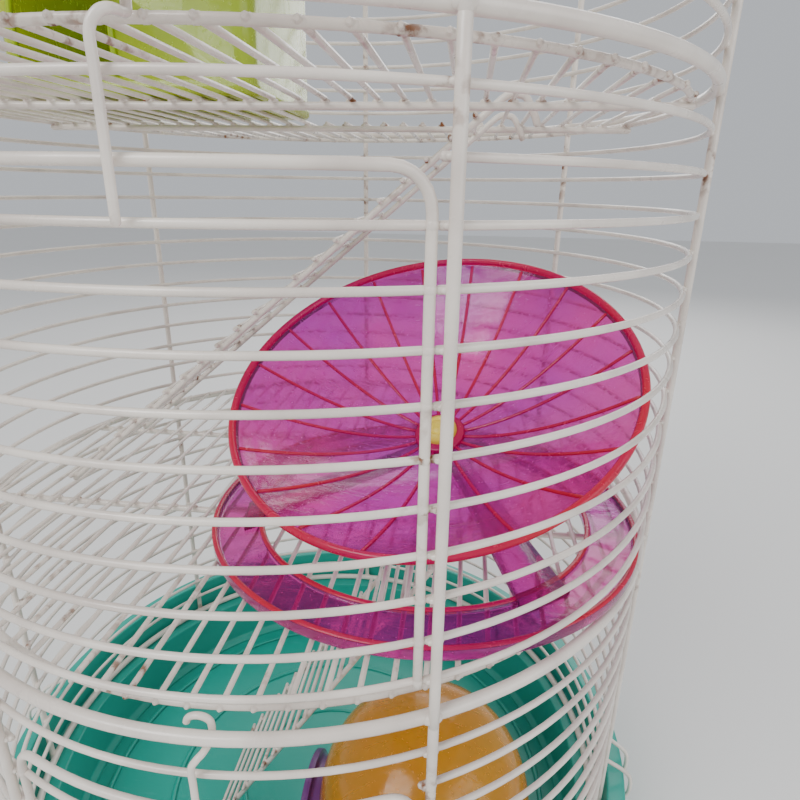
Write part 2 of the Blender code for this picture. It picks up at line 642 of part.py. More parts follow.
def make_hideout(orange, purple):
    """A tall bell of thin plastic on a ring base, with a round tunnel through its wall."""
    floor_top = TRAY_FLOOR + GAP
    centre = Vector((HIDE_X, HIDE_Y, floor_top))
    inside_radius = HIDE_RADIUS - HIDE_FOOT_WIDTH
    outside_radius = HIDE_RADIUS + HIDE_FOOT_WIDTH / 2
    lip_radius = HIDE_RADIUS + HIDE_FOOT_CLEAR
    base = [(inside_radius, 0), (outside_radius, 0), (outside_radius, HIDE_FOOT)]
    base += [(lip_radius, HIDE_BASE), (lip_radius, HIDE_FOOT), (inside_radius, HIDE_FOOT)]
    mesh_data = turned(base, 32)
    mesh_data.transform(Matrix.Translation(centre))
    piece("hideout_base", mesh_data, purple, centre)
    foot = HIDE_FOOT + GAP
    shoulder = HIDE_HEIGHT * 0.55
    crown = HIDE_HEIGHT - shoulder
    outer = [(HIDE_RADIUS, foot), (HIDE_RADIUS - 0.0015, shoulder)]
    for angle in (20, 40, 58, 75):
        turn = math.radians(angle)
        outer.append(((HIDE_RADIUS - 0.0015) * math.cos(turn), shoulder + crown * math.sin(turn)))
    inner = [(radius - HIDE_WALL, z - (HIDE_WALL if z > shoulder else 0)) for radius, z in outer]
    profile = [(0, HIDE_HEIGHT)] + outer[::-1] + inner + [(0, HIDE_HEIGHT - HIDE_WALL)]
    mesh_data = turned(profile, 32)
    mesh_data.transform(Matrix.Translation(centre))
    dome = piece("hideout_dome", mesh_data, orange, centre)
    axis_z = HIDE_BASE + GAP + TUNNEL_RADIUS + 0.0015
    along = Vector((-1, 0, 0))
    start = centre + along * (HIDE_RADIUS - TUNNEL_INSIDE) + Vector((0, 0, axis_z))
    length = TUNNEL_LENGTH
    hole_radius = TUNNEL_RADIUS + 2 * GAP
    hole = [(0, -HIDE_WALL), (hole_radius, -HIDE_WALL), (hole_radius, length), (0, length)]
    boolean(dome, helper("hideout_doorway", about_axis(turned(hole, 24), start, along), orange), "DIFFERENCE")
    inside = TUNNEL_RADIUS - TUNNEL_WALL
    sleeve = [(inside, 0), (TUNNEL_RADIUS, 0), (TUNNEL_RADIUS, length - TUNNEL_FLANGE - 0.0010)]
    sleeve += [(TUNNEL_FLANGE_RADIUS, length - TUNNEL_FLANGE), (TUNNEL_FLANGE_RADIUS, length), (inside, length)]
    piece("hideout_tunnel", about_axis(turned(sleeve, 24), start, along), purple, start)


def make_clips(surface):
    """Wire bails that hang on the wall and hook under the tray's lip."""
    pivot_reach = WALL_RADIUS + THIN_WIRE / 2 + 2 * GAP + CLIP_WIRE / 2
    pivot_z = TRAY_RIM_Z + 0.0095
    for name, azimuth in zip(("tray_clip_right", "tray_clip_left"), CLIP_AZIMUTHS):
        outward = Vector((math.sin(azimuth), -math.cos(azimuth), 0))
        across = Vector((0, 0, 1)).cross(outward)
        side_path = [
            (pivot_reach, pivot_z),
            (TRAY_RADIUS - 0.0010, TRAY_RIM_Z + 0.0045),
            (TRAY_RADIUS + 0.0022, TRAY_RIM_Z + 0.0002),
            (TRAY_RADIUS + 0.0022, TRAY_RIM_Z - 0.0078),
            (TRAY_RADIUS - 0.0008, TRAY_RIM_Z - 0.0097),
        ]
        points = []
        for side, path in ((-1, side_path), (1, side_path[::-1])):
            for reach, z in path:
                points.append(outward * reach + across * side * CLIP_HALF_WIDTH + Vector((0, 0, z)))
        pivot = outward * pivot_reach + Vector((0, 0, pivot_z))
        piece(name, tube(points, CLIP_WIRE, 6, True), surface, pivot)


def make_handle(surface):
    """A carrying bail that lies folded back on the roof, in two eyes that stand on the roof's wires."""
    eye_z = ROOF_Z + BAR_WIRE / 2 + GAP + HANDLE_EYE_WIRE + HANDLE_WIRE / 2 + HANDLE_LIFT
    bend = HANDLE_BEND
    y_far = HANDLE_REACH
    points = [Vector((-HANDLE_HALF_WIDTH + HANDLE_END, 0, eye_z)), Vector((-HANDLE_HALF_WIDTH, 0, eye_z))]
    points += [Vector((-HANDLE_HALF_WIDTH, y_far - bend, eye_z))]
    points += arc((-HANDLE_HALF_WIDTH + bend, y_far - bend, eye_z), (-bend, 0, 0), (0, bend, 0), 3)[1:]
    points += arc((HANDLE_HALF_WIDTH - bend, y_far - bend, eye_z), (0, bend, 0), (bend, 0, 0), 3)
    points += [Vector((HANDLE_HALF_WIDTH, 0, eye_z)), Vector((HANDLE_HALF_WIDTH - HANDLE_END, 0, eye_z))]
    piece("carry_handle", tube(points, HANDLE_WIRE, 8), surface, (0, 0, eye_z))
    for name, side in (("handle_eye_left", -1), ("handle_eye_right", 1)):
        centre = Vector((side * (HANDLE_HALF_WIDTH - HANDLE_EYE_INSET), 0, eye_z))
        ring = []
        for step in range(12):
            angle = 2 * math.pi * step / 12
            reach = HANDLE_WIRE / 2 + GAP * 2 + HANDLE_EYE_WIRE / 2
            ring.append(centre + Vector((0, math.sin(angle) * reach, math.cos(angle) * reach)))
        piece(name, tube(ring, HANDLE_EYE_WIRE, 5, True), surface, centre)


def build():
    for old in list(bpy.data.objects):
        bpy.data.objects.remove(old, do_unlink=True)
    coated = material("coated_wire", (0.86, 0.82, 0.76), 0.32)
    steel = material("plated_steel", (0.72, 0.71, 0.68), 0.28, 1.0)
    teal = material("tray_plastic", (0.02, 0.42, 0.34), 0.35)
    pink = material("wheel_plastic", (0.80, 0.04, 0.36), 0.15)
    yellow = material("hub_plastic", (0.92, 0.74, 0.08), 0.35)
    lime = material("nest_plastic", (0.55, 0.72, 0.06), 0.3)
    orange = material("hideout_plastic", (0.95, 0.42, 0.02), 0.2)
    purple = material("tunnel_plastic", (0.13, 0.03, 0.18), 0.3)
    make_tray(teal)
    make_walls(coated)
    make_door("door_lower", BASE_RING_Z, 2, coated, steel)
    make_door("door_middle", FLOOR_2_RING_Z, DOOR_FIRST_RING, coated, steel)
    wire_disc("floor_middle", FLOOR_2_Z, coated, True)
    wire_disc("floor_upper", FLOOR_3_Z, coated, True)
    wire_disc("roof", ROOF_Z, coated, False)
    make_ladder("ladder_lower", FLOOR_2_Z, TRAY_FLOOR, LADDER_MID_Y[0], LADDER_HALF_WIDTHS[0], coated)
    upper_foot_z = FLOOR_2_Z + BAR_WIRE / 2
    make_ladder("ladder_upper", FLOOR_3_Z, upper_foot_z, LADDER_MID_Y[1], LADDER_HALF_WIDTHS[1], coated)
    make_wheel(pink, yellow, steel)
    make_nest_box(lime)
    make_hideout(orange, purple)
    make_clips(coated)
    make_handle(coated)


build()
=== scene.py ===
"""Looks of the round hamster cage: round coated wires, clear plastics, moulded tray, light and camera.

Lengths are in metres, in the CAD frame. An azimuth is measured from -Y, where the doors are, towards +X.
"""

import json
import math

import bmesh
import bpy
import numpy as np
from mathutils import Matrix, Vector

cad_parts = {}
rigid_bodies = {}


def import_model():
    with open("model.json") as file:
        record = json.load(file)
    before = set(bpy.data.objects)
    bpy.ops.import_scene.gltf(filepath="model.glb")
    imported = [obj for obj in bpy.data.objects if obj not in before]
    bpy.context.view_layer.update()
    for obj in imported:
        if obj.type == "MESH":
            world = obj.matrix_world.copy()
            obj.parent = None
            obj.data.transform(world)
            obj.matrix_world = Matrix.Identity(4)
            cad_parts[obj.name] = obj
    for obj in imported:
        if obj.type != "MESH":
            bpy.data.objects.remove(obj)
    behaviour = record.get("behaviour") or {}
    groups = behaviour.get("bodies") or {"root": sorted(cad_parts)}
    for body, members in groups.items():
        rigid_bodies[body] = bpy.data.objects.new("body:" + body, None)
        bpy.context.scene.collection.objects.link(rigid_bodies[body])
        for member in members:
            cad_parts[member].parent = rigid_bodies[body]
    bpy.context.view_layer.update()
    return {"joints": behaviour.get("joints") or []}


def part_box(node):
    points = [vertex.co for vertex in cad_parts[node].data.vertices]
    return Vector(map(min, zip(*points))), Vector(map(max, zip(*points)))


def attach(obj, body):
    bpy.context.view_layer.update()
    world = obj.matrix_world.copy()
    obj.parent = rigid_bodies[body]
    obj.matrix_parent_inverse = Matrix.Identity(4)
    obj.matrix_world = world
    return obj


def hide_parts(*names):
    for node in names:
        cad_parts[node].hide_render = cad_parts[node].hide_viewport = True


for old in list(bpy.data.objects):
    bpy.data.objects.remove(old, do_unlink=True)
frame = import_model()
joints = {joint["name"]: joint for joint in frame["joints"]}

# Wire cage
RING_PITCH = 0.011
THIN = 0.00088
THICK = 0.00165
POST = 0.00130
FRAME_WIRE = 0.00110
BAR = 0.00075
RIM = 0.00095
BRACE = 0.0012
POST_SINK = 0.0003
POSTS = 7
POST_STEP = 2 * math.pi / POSTS
STOREY_RINGS = 13
TOP_STOREY_RINGS = 9
CAD_THICK_HALF = 0.0017
WALL_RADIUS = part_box("wall_lower_bay_4")[1][1] - CAD_THICK_HALF
POST_RADIUS = WALL_RADIUS + THIN + POST - POST_SINK
BASE_RING_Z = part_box("wall_lower_bay_4")[0][2] + CAD_THICK_HALF
FLOOR_2_RING_Z = BASE_RING_Z + STOREY_RINGS * RING_PITCH
FLOOR_3_RING_Z = FLOOR_2_RING_Z + STOREY_RINGS * RING_PITCH

RING_OVERLAP = math.radians(0.9)
THICK_BEAD = 0.0026
THIN_BEAD = 0.0021
SMALL_BEAD = 0.0016
FINE_SIDES = 8
WIRE_SIDES = 10
THICK_SIDES = 12
WIRE_END = 0.55
# Reach and strength of the dark mark near welds and cut ends: partly rust, partly painted shade where wires
# meet and end.
RUST_AND_SHADE_REACH = 0.0022
RUST_AND_SHADE_STRENGTH = 1.6

# Doors and latches
DOOR_EDGE = math.radians(24.1)
DOOR_LAST_RING = 10
DOOR_CORNER = 0.0075
DOOR_TOP_DROP = 0.14 * RING_PITCH
HINGE_WRAP_WIRE = 0.0005
HINGE_WRAP_ROOM = 0.0007
HINGE_WRAP_PITCH = 0.0011
HINGE_WRAP_TURNS = 2
LATCH_WIRE = 0.00085
LATCH_AZIMUTH = math.radians(1.5)
LATCH_HALF_HOOK = 0.0030
LATCH_TAIL = 0.0330

# Wire floors
DISC_RADIUS = 11.1 * RING_PITCH
NUB_RADIUS = 11.21 * RING_PITCH
BAR_PITCH = 0.70 * RING_PITCH
BARS_EACH_SIDE = 15
BRACE_Y = 3.15 * RING_PITCH
HATCH_LOW_BAR = -1
HATCH_HIGH_BAR = 9

# Ladders
RAIL = 0.00112
RUNG = 0.00085
RUNG_PITCH = 0.0094
RUNGS = 22
RUNG_OVERHANG = 0.0016
LADDER_LENGTH = 0.2090
LADDER_SET_BACK = 0.0016
LADDER_STRAIGHT_SHARE = 0.965
CAD_RAIL = 0.0011
RUNG_BEAD = 0.0015

# Clips and handle
CLIP_WIRE = 0.0009
CLIP_HALF_WIDTH = 0.0060
HANDLE_BEND = 0.012
HANDLE_SMALL_BEND = 0.003
EYE_RADIUS = 0.0030
EYE_WIRE = 0.0008

# Tray
TRAY_FLOOR_Z = 0.0022
TRAY_RIM_DEPTH = 0.0073
TRAY_SKIN = 0.0023
TRAY_RINGS = (0.040, 0.075, 0.108)
TRAY_RING_WIDTH = 0.0028
TRAY_SEGMENTS = 160

# Wheel
WHEEL_RADIUS = 0.0715
WHEEL_DEPTH = 0.0310
WHEEL_WALL = 0.0018
HUB_RADIUS = 0.0068
RIBS = 20
RIB_WIRE = 0.00062
WHEEL_SEGMENTS = 144
STAND_X = 4.30 * RING_PITCH
STAND_Y = -2.70 * RING_PITCH
STAND_RADIUS = 0.0740
STAND_HOLE = 0.0570
STAND_SHEET = 0.0018
STAND_LIP = 0.0037
STAND_HOLE_LIP = 0.0028
ARM_SECTION = ((-1, -0.6), (-0.85, -1), (0.85, -1), (1, -0.6), (1, 0.6), (0.85, 1), (-0.85, 1), (-1, 0.6))
STAND_ARMS = (math.radians(-52), math.radians(74), math.radians(194))

# Nest box
NEST_WALL = 0.0018
NEST_CORNER = 0.0060
DOORWAY_X = 0.0220
DOORWAY_SILL = 0.0060
DOORWAY_HALF = 0.0150
DOORWAY_SIDE = 0.0160
DOORWAY_TRIM = 0.0009

# Hideout
HIDE_RADIUS = 0.0440
HIDE_WALL = 0.0020
HIDE_TAPER = 0.0015
HIDE_RIDGE = 0.0006
HIDE_LOW_BAND = 0.003
HIDE_SHOULDER_SHARE = 0.55
HIDE_SEGMENTS = 112
TUNNEL_INSIDE = 0.0080
TUNNEL_LENGTH = 0.0135
TUNNEL_BORE = 0.0210
TUNNEL_RADIUS = 0.0230
TUNNEL_CUT_RADIUS = 0.0236
TUNNEL_FLANGE = 0.0030
TUNNEL_FLANGE_RADIUS = 0.0255
TUNNEL_SEGMENTS = 96

# Stage and camera: the camera stands in ring pitches from the upper floor's ring
FLOOR_HALF_SIZE = 4.0
WORLD_STRENGTH = 0.62
LIGHT_TARGET = (0, 0, 0.2)
LIGHTS = (
    ("key", (-0.7, -1.0, 1.3), 0.8, 18.0),
    ("fill", (1.1, -0.7, 0.7), 1.0, 7.0),
    ("back", (0.2, 1.2, 1.0), 1.0, 9.0),
)
CAMERA_LENS = 26.8
CAMERA_SENSOR = 36
CAMERA_PITCHES = (5.319, -20.24, -2.477)
CAMERA_FORWARD = (-0.0989, 0.9375, -0.3336)
CAMERA_UP = (-0.0513, 0.33, 0.9426)


# ---------------------------------------------------------------- materials


def new_material(name, colour, roughness, **sockets):
    made = bpy.data.materials.new(name)
    made.use_nodes = True
    shader = made.node_tree.nodes["Principled BSDF"]
    shader.inputs["Base Color"].default_value = (*colour, 1)
    shader.inputs["Roughness"].default_value = roughness
    for socket, value in sockets.items():
        shader.inputs[socket.replace("_", " ")].default_value = value
    return made, shader


def noise(tree, scale, detail=3.0, stretch=(1, 1, 1)):
    """Noise in the object's own coordinates, 0 to 1."""
    place = tree.nodes.new("ShaderNodeTexCoord")
    mapping = tree.nodes.new("ShaderNodeMapping")
    mapping.inputs["Scale"].default_value = stretch
    texture = tree.nodes.new("ShaderNodeTexNoise")
    texture.inputs["Scale"].default_value = scale
    texture.inputs["Detail"].default_value = detail
    tree.links.new(place.outputs["Object"], mapping.inputs["Vector"])
    tree.links.new(mapping.outputs["Vector"], texture.inputs["Vector"])
    return texture.outputs["Fac"]


def spread(tree, value, low, high, to_low=0.0, to_high=1.0):
    node = tree.nodes.new("ShaderNodeMapRange")
    node.inputs["From Min"].default_value = low
    node.inputs["From Max"].default_value = high
    node.inputs["To Min"].default_value = to_low
    node.inputs["To Max"].default_value = to_high
    tree.links.new(value, node.inputs["Value"])
    return node.outputs["Result"]


def combine(tree, operation, first, second):
    node = tree.nodes.new("ShaderNodeMath")
    node.operation = operation
    node.use_clamp = True
    for index, value in enumerate((first, second)):
        if isinstance(value, float):
            node.inputs[index].default_value = value
        else:
            tree.links.new(value, node.inputs[index])
    return node.outputs[0]


def mix_colour(tree, mask, first, second):
    node = tree.nodes.new("ShaderNodeMix")
    node.data_type = "RGBA"
    for name, value in (("A", first), ("B", second)):
        socket = [each for each in node.inputs if each.name == name and each.type == "RGBA"][0]
        if isinstance(value, tuple):
            socket.default_value = (*value, 1)
        else:
            tree.links.new(value, socket)
    tree.links.new(mask, node.inputs["Factor"])
    return [each for each in node.outputs if each.type == "RGBA"][0]


def add_bump(tree, shader, height, strength, distance):
    bump = tree.nodes.new("ShaderNodeBump")
    bump.inputs["Strength"].default_value = strength
    bump.inputs["Distance"].default_value = distance
    tree.links.new(height, bump.inputs["Height"])
    tree.links.new(bump.outputs["Normal"], shader.inputs["Normal"])


def coated_wire():
    """Cream plastic coating with an uneven skin, grey dust, and dark patches where wires are welded or cut,
    which are partly rust and partly painted shade where the wires meet and end.
    """
    cream = (0.82, 0.75, 0.67)
    made, shader = new_material("coated_wire", cream, 0.3, Coat_Weight=0.35, Coat_Roughness=0.12)
    tree = made.node_tree
    dust = spread(tree, noise(tree, 45.0, 5.0), 0.42, 0.72)
    dusty = mix_colour(tree, dust, (0.84, 0.77, 0.69), (0.64, 0.56, 0.50))
    # Near welds and cut ends the colour goes to a dark rust brown: partly rust, partly painted shade where
    # the wires meet and end.
    weld = tree.nodes.new("ShaderNodeAttribute")
    weld.attribute_name = "weld"
    patches = spread(tree, noise(tree, 320.0, 4.0), 0.50, 0.62)
    places = spread(tree, noise(tree, 38.0, 1.0), 0.50, 0.60)
    rust_and_shade = combine(tree, "MULTIPLY", combine(tree, "MULTIPLY", weld.outputs["Fac"], patches), places)
    rust_and_shade_colour = mix_colour(tree, noise(tree, 900.0, 2.0), (0.09, 0.025, 0.008), (0.30, 0.10, 0.02))
    tree.links.new(mix_colour(tree, rust_and_shade, dusty, rust_and_shade_colour), shader.inputs["Base Color"])
    smooth = spread(tree, noise(tree, 120.0, 3.0), 0.3, 0.7, 0.22, 0.42)
    dull = combine(tree, "MULTIPLY", rust_and_shade, 0.9)
    tree.links.new(combine(tree, "MAXIMUM", smooth, dull), shader.inputs["Roughness"])
    skin = combine(tree, "ADD", noise(tree, 260.0, 2.0), combine(tree, "MULTIPLY", rust_and_shade, 0.8))
    add_bump(tree, shader, skin, 0.35, 0.00025)
    return made


def plated_steel():
    made, shader = new_material("plated_steel", (0.70, 0.69, 0.66), 0.25, Metallic=1.0)
    tree = made.node_tree
    stain = spread(tree, noise(tree, 300.0, 4.0), 0.52, 0.70)
    stained = mix_colour(tree, stain, (0.72, 0.71, 0.68), (0.38, 0.27, 0.18))
    tree.links.new(stained, shader.inputs["Base Color"])
    tree.links.new(spread(tree, noise(tree, 500.0), 0.3, 0.7, 0.18, 0.48), shader.inputs["Roughness"])
    add_bump(tree, shader, noise(tree, 900.0), 0.2, 0.0001)
    return made


def clear_plastic(name, colour, deep, transmission, roughness=0.06):
    """Tinted clear plastic, a little uneven in tint (for the pink, painted colour of a blue wall seen through
    it), with fine scratches and dust that dull it.
    """
    made, shader = new_material(name, colour, roughness, Transmission_Weight=transmission, IOR=1.47)
    shader.inputs["Specular IOR Level"].default_value = 0.3
    tree = made.node_tree
    # Clouds of the deep colour: uneven tint, and for the pink plastic painted colour of a blue wall seen
    # through it.
    cloud = spread(tree, noise(tree, 14.0, 3.0), 0.35, 0.65)
    tree.links.new(mix_colour(tree, cloud, colour, deep), shader.inputs["Base Color"])
    scratches = spread(tree, noise(tree, 90.0, 6.0, (1, 9, 1)), 0.56, 0.70)
    dust = spread(tree, noise(tree, 700.0, 2.0), 0.60, 0.72)
    marks = combine(tree, "MAXIMUM", scratches, dust)
    tree.links.new(spread(tree, marks, 0.0, 1.0, roughness, roughness + 0.22), shader.inputs["Roughness"])
    add_bump(tree, shader, combine(tree, "ADD", noise(tree, 60.0, 2.0), marks), 0.08, 0.0004)
    return made


def moulded_plastic(name, colour, pale, roughness, grain):
    """Opaque moulded plastic with a fine spark-eroded grain, scuffs and a dusting."""
    made, shader = new_material(name, colour, roughness)
    tree = made.node_tree
    scuff = spread(tree, noise(tree, 55.0, 7.0, (1, 6, 2)), 0.58, 0.72)
    cloud = spread(tree, noise(tree, 9.0, 3.0), 0.3, 0.7, 0.0, 0.35)
    worn = combine(tree, "MAXIMUM", combine(tree, "MULTIPLY", scuff, 0.4), cloud)
    tree.links.new(mix_colour(tree, worn, colour, pale), shader.inputs["Base Color"])
    tree.links.new(spread(tree, scuff, 0.0, 1.0, roughness, roughness + 0.25), shader.inputs["Roughness"])
    add_bump(tree, shader, noise(tree, grain, 2.0), 0.12, 0.0002)
    return made


# ---------------------------------------------------------------- mesh work


class Sculpt:
    """Collects closed shapes into one mesh, and the places where its wires are welded or cut."""

    def __init__(self):
        self.points = []
        self.faces = []
        self.welds = []

    def add(self, points, faces):
        start = len(self.points)
        self.points += [tuple(point) for point in points]
        self.faces += [[start + index for index in face] for face in faces]

    def tube(self, points, radius, sides=WIRE_SIDES, closed=False):
        """A round wire along points, with domed ends or joined into a loop."""
        path = [Vector(point) for point in points]
        radii = [radius] * len(path)
        if not closed:
            first = (path[1] - path[0]).normalized()
            last = (path[-1] - path[-2]).normalized()
            path = [path[0] - first * radius * WIRE_END] + path + [path[-1] + last * radius * WIRE_END]
            radii = [radius * WIRE_END] + radii + [radius * WIRE_END]
        count = len(path)
        rings = []
        normal = None
        for index, point in enumerate(path):
            before = path[index - 1] if index or closed else point
            after = path[(index + 1) % count] if index < count - 1 or closed else point
            tangent = (after - before).normalized()
            normal = tangent.orthogonal() if normal is None else normal - tangent * normal.dot(tangent)
            normal.normalize()
            side = tangent.cross(normal)
            angles = [2 * math.pi * step / sides for step in range(sides)]
            rings.append([point + (normal * math.cos(a) + side * math.sin(a)) * radii[index] for a in angles])
        shift = 0
        if closed:
            gaps = [(rings[0][step] - rings[-1][0]).length for step in range(sides)]
            shift = gaps.index(min(gaps))
        faces = []
        for index in range(count if closed else count - 1):
            after = (index + 1) % count
            turn = shift if after == 0 else 0
            for step in range(sides):
                following = (step + 1) % sides
                near = (index * sides + step, index * sides + following)
                far = (after * sides + (following + turn) % sides, after * sides + (step + turn) % sides)
                faces.append([near[1], near[0], far[1], far[0]])
        if not closed:
            faces.append(list(range(sides)))
            faces.append([(count - 1) * sides + step for step in range(sides)][::-1])
            self.welds += [path[0], path[-1]]
        self.add([corner for ring in rings for corner in ring], faces)

    def bead(self, centre, axis, radius, length):
        """A small egg-shaped weld bead, long along axis."""
        turn = Vector((0, 0, 1)).rotation_difference(Vector(axis)).to_matrix()
        rings = 5
        sides = 8
        points = [turn @ Vector((0, 0, -length)) + Vector(centre)]
        for ring in range(1, rings):
            angle = math.pi * ring / rings
            for step in range(sides):
                around = 2 * math.pi * step / sides
                local = Vector((math.cos(around), math.sin(around), 0)) * radius * math.sin(angle)
                local.z = -length * math.cos(angle)
                points.append(turn @ local + Vector(centre))
        points.append(turn @ Vector((0, 0, length)) + Vector(centre))
        faces = []
        for step in range(sides):
            after = (step + 1) % sides
            faces.append([0, 1 + after, 1 + step])
            faces.append([len(points) - 1, len(points) - 1 - sides + step, len(points) - 1 - sides + after])
            for ring in range(rings - 2):
                low = 1 + ring * sides
                faces.append([low + step, low + after, low + sides + after, low + sides + step])
        self.add(points, faces)
        self.welds.append(Vector(centre))

    def turned(self, profile, segments, place=Matrix()):
        """A solid turned about Z from an outline of (radius, z), which is closed or ends on the axis."""
        rings = []
        points = []
        for radius, z in profile:
            steps = 1 if radius == 0 else segments
            rings.append(range(len(points), len(points) + steps))
            for step in range(steps):
                angle = 2 * math.pi * step / segments
                points.append(place @ Vector((radius * math.sin(angle), -radius * math.cos(angle), z)))
        pairs = len(rings) - 1 if len(rings[0]) == 1 else len(rings)
        faces = []
        for index in range(pairs):
            first = rings[index]
            second = rings[(index + 1) % len(rings)]
            for step in range(segments):
                after = (step + 1) % segments
                corners = [first[step % len(first)], first[after % len(first)]]
                corners += [second[after % len(second)], second[step % len(second)]]
                faces.append(list(dict.fromkeys(corners)))
        self.add(points, faces)

    def loft(self, loops):
        """A closed solid through loops of equal length."""
        count = len(loops[0])
        faces = [list(range(count))[::-1], [(len(loops) - 1) * count + step for step in range(count)]]
        for index in range(len(loops) - 1):
            for step in range(count):
                after = (step + 1) % count
                low = index * count
                faces.append([low + step, low + after, low + count + after, low + count + step])
        self.add([point for loop in loops for point in loop], faces)

    def make(self, name, material, sharp=45.0):
        mesh = bpy.data.meshes.new(name)
        mesh.from_pydata(self.points, [], self.faces)
        places = np.array(self.points)
        marks = np.zeros(len(places))
        # Marks points near welds and cut ends; the wire material colours them partly as rust, partly as
        # painted shade.
        for weld in self.welds:
            distance = np.linalg.norm(places - np.array(weld), axis=1)
            marks = np.maximum(marks, np.clip(RUST_AND_SHADE_STRENGTH - distance / RUST_AND_SHADE_REACH, 0, 1))
        attribute = mesh.attributes.new("weld", "FLOAT", "POINT")
        attribute.data.foreach_set("value", marks.astype(np.float32))
        mesh.materials.append(material)
        mesh.shade_smooth()
        mesh.set_sharp_from_angle(angle=math.radians(sharp))
        made = bpy.data.objects.new(name, mesh)
        bpy.context.scene.collection.objects.link(made)
        fix_normals(made)
        return made


def fix_normals(piece):
    mesh_data = bmesh.new()
    mesh_data.from_mesh(piece.data)
    bmesh.ops.recalc_face_normals(mesh_data, faces=mesh_data.faces)
    mesh_data.to_mesh(piece.data)
    mesh_data.free()


def on_wall(azimuth, z, radius=WALL_RADIUS):
    return Vector((radius * math.sin(azimuth), -radius * math.cos(azimuth), z))


def sweep(start, end, z, radius=WALL_RADIUS, step=math.radians(2.5)):
    """Points round the wall between two azimuths."""
    count = max(2, round(abs(end - start) / step))
    return [on_wall(start + (end - start) * index / count, z, radius) for index in range(count + 1)]


def rounded(profile, radius, steps=3):
    """The closed outline with its corners rounded by a curve of about the given radius."""
    made = []
    count = len(profile)
    for index in range(count):
        corner = Vector(profile[index])
        back = Vector(profile[index - 1]) - corner
        ahead = Vector(profile[(index + 1) % count]) - corner
        reach = min(radius, back.length * 0.45, ahead.length * 0.45)
        start = corner + back.normalized() * reach
        end = corner + ahead.normalized() * reach
        for step in range(steps + 1):
            share = step / steps
            point = start * (1 - share) ** 2 + corner * 2 * share * (1 - share) + end * share**2
            made.append((point.x, point.y))
    return made


def along_axis(origin, axis):
    turn = Vector((0, 0, 1)).rotation_difference(Vector(axis)).to_matrix().to_4x4()
    return Matrix.Translation(Vector(origin)) @ turn


def smooth_path(points, per_span=6):
    """A Catmull-Rom curve through the points."""
    path = [Vector(point) for point in points]
    made = []
    for index in range(len(path) - 1):
        p0 = path[max(index - 1, 0)]
        p1 = path[index]
        p2 = path[index + 1]
        p3 = path[min(index + 2, len(path) - 1)]
        for step in range(per_span):
            t = step / per_span
            square = (p0 * 2 - p1 * 5 + p2 * 4 - p3) * t**2
            cube = (p1 * 3 - p0 - p2 * 3 + p3) * t**3
            made.append((p1 * 2 + (p2 - p0) * t + square + cube) / 2)
    made.append(path[-1])
    return made


def settle(piece, body, slot, *nodes):
    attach(piece, body)
    if nodes:
        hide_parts(*nodes)
    return piece


# ---------------------------------------------------------------- wire cage


def post_azimuths():
    return [POST_STEP * (index + 0.5) for index in range(POSTS)]


def make_wall(storey, foot_z, rings, gap_rings, material, top_ring=False):
    """One storey's wires: thick foot ring, thin rings that stop at the doorway, and posts outside."""
    wires = Sculpt()
    front = POST_STEP / 2
    top_z = foot_z + rings * RING_PITCH
    for ring in range(rings + 1):
        z = foot_z + ring * RING_PITCH
        thick = ring == 0 or ring == rings
        if ring == rings and not top_ring:
            continue
        radius = THICK if thick else THIN
        if ring in gap_rings:
            wires.tube(sweep(front - RING_OVERLAP, 2 * math.pi - front + RING_OVERLAP, z), radius)
        else:
            wires.tube(sweep(0, 2 * math.pi, z)[:-1], radius, THICK_SIDES if thick else WIRE_SIDES, True)
        for azimuth in post_azimuths():
            bead_at = on_wall(azimuth, z, (WALL_RADIUS + POST_RADIUS) / 2)
            across = (math.cos(azimuth), math.sin(azimuth), 0)
            wires.bead(bead_at, across, radius * 1.12, THICK_BEAD if thick else THIN_BEAD)
    for azimuth in post_azimuths():
        low = foot_z - THICK * 0.9
        high = top_z - (THICK * 1.15 if not top_ring else -THICK * 0.9)
        steps = 14
        path = [on_wall(azimuth, low + (high - low) * step / steps, POST_RADIUS) for step in range(steps + 1)]
        wires.tube(path, POST, THICK_SIDES)
    bays = [f"wall_{storey}_bay_{bay}" for bay in range(1, POSTS + 1)]
    settle(wires.make(f"{storey}_wall_wires", material), "root", "coated_wire", *bays)


def make_door(side, foot_z, first_ring, material):
    """The door: a wire bent into a frame with rounded top corners, open at the foot, and bars across it."""
    wires = Sculpt()
    body = f"{side}_door"
    bottom_z = foot_z + first_ring * RING_PITCH - FRAME_WIRE
    top_z = foot_z + (DOOR_LAST_RING + 1) * RING_PITCH - DOOR_TOP_DROP
    corner = DOOR_CORNER / WALL_RADIUS
    path = []
    for side_sign in (-1, 1):
        leg = []
        steps = 12
        for step in range(steps + 1):
            z = bottom_z + (top_z - DOOR_CORNER - bottom_z) * step / steps
            leg.append(on_wall(side_sign * DOOR_EDGE, z))
        for step in range(1, 7):
            angle = math.pi / 2 * step / 6
            azimuth = side_sign * (DOOR_EDGE - corner + corner * math.cos(angle))
            leg.append(on_wall(azimuth, top_z - DOOR_CORNER + DOOR_CORNER * math.sin(angle)))
        path += leg if side_sign < 0 else [None] + leg[::-1]
    split = path.index(None)
    top = sweep(-DOOR_EDGE + corner, DOOR_EDGE - corner, top_z)[1:-1]
    wires.tube(path[:split] + top + path[split + 1 :], FRAME_WIRE, THICK_SIDES)
    for ring in range(first_ring, DOOR_LAST_RING + 1):
        z = foot_z + ring * RING_PITCH
        wires.tube(sweep(-DOOR_EDGE, DOOR_EDGE, z, WALL_RADIUS - 0.0004), THIN)
        for side_sign in (-1, 1):
            wires.bead(on_wall(side_sign * DOOR_EDGE, z), (0, 0, 1), FRAME_WIRE * 1.22, SMALL_BEAD)
    settle(wires.make(f"{side}_door_wires", material), body, "coated_wire", f"door_{side}")
    make_latch(side, foot_z, material)


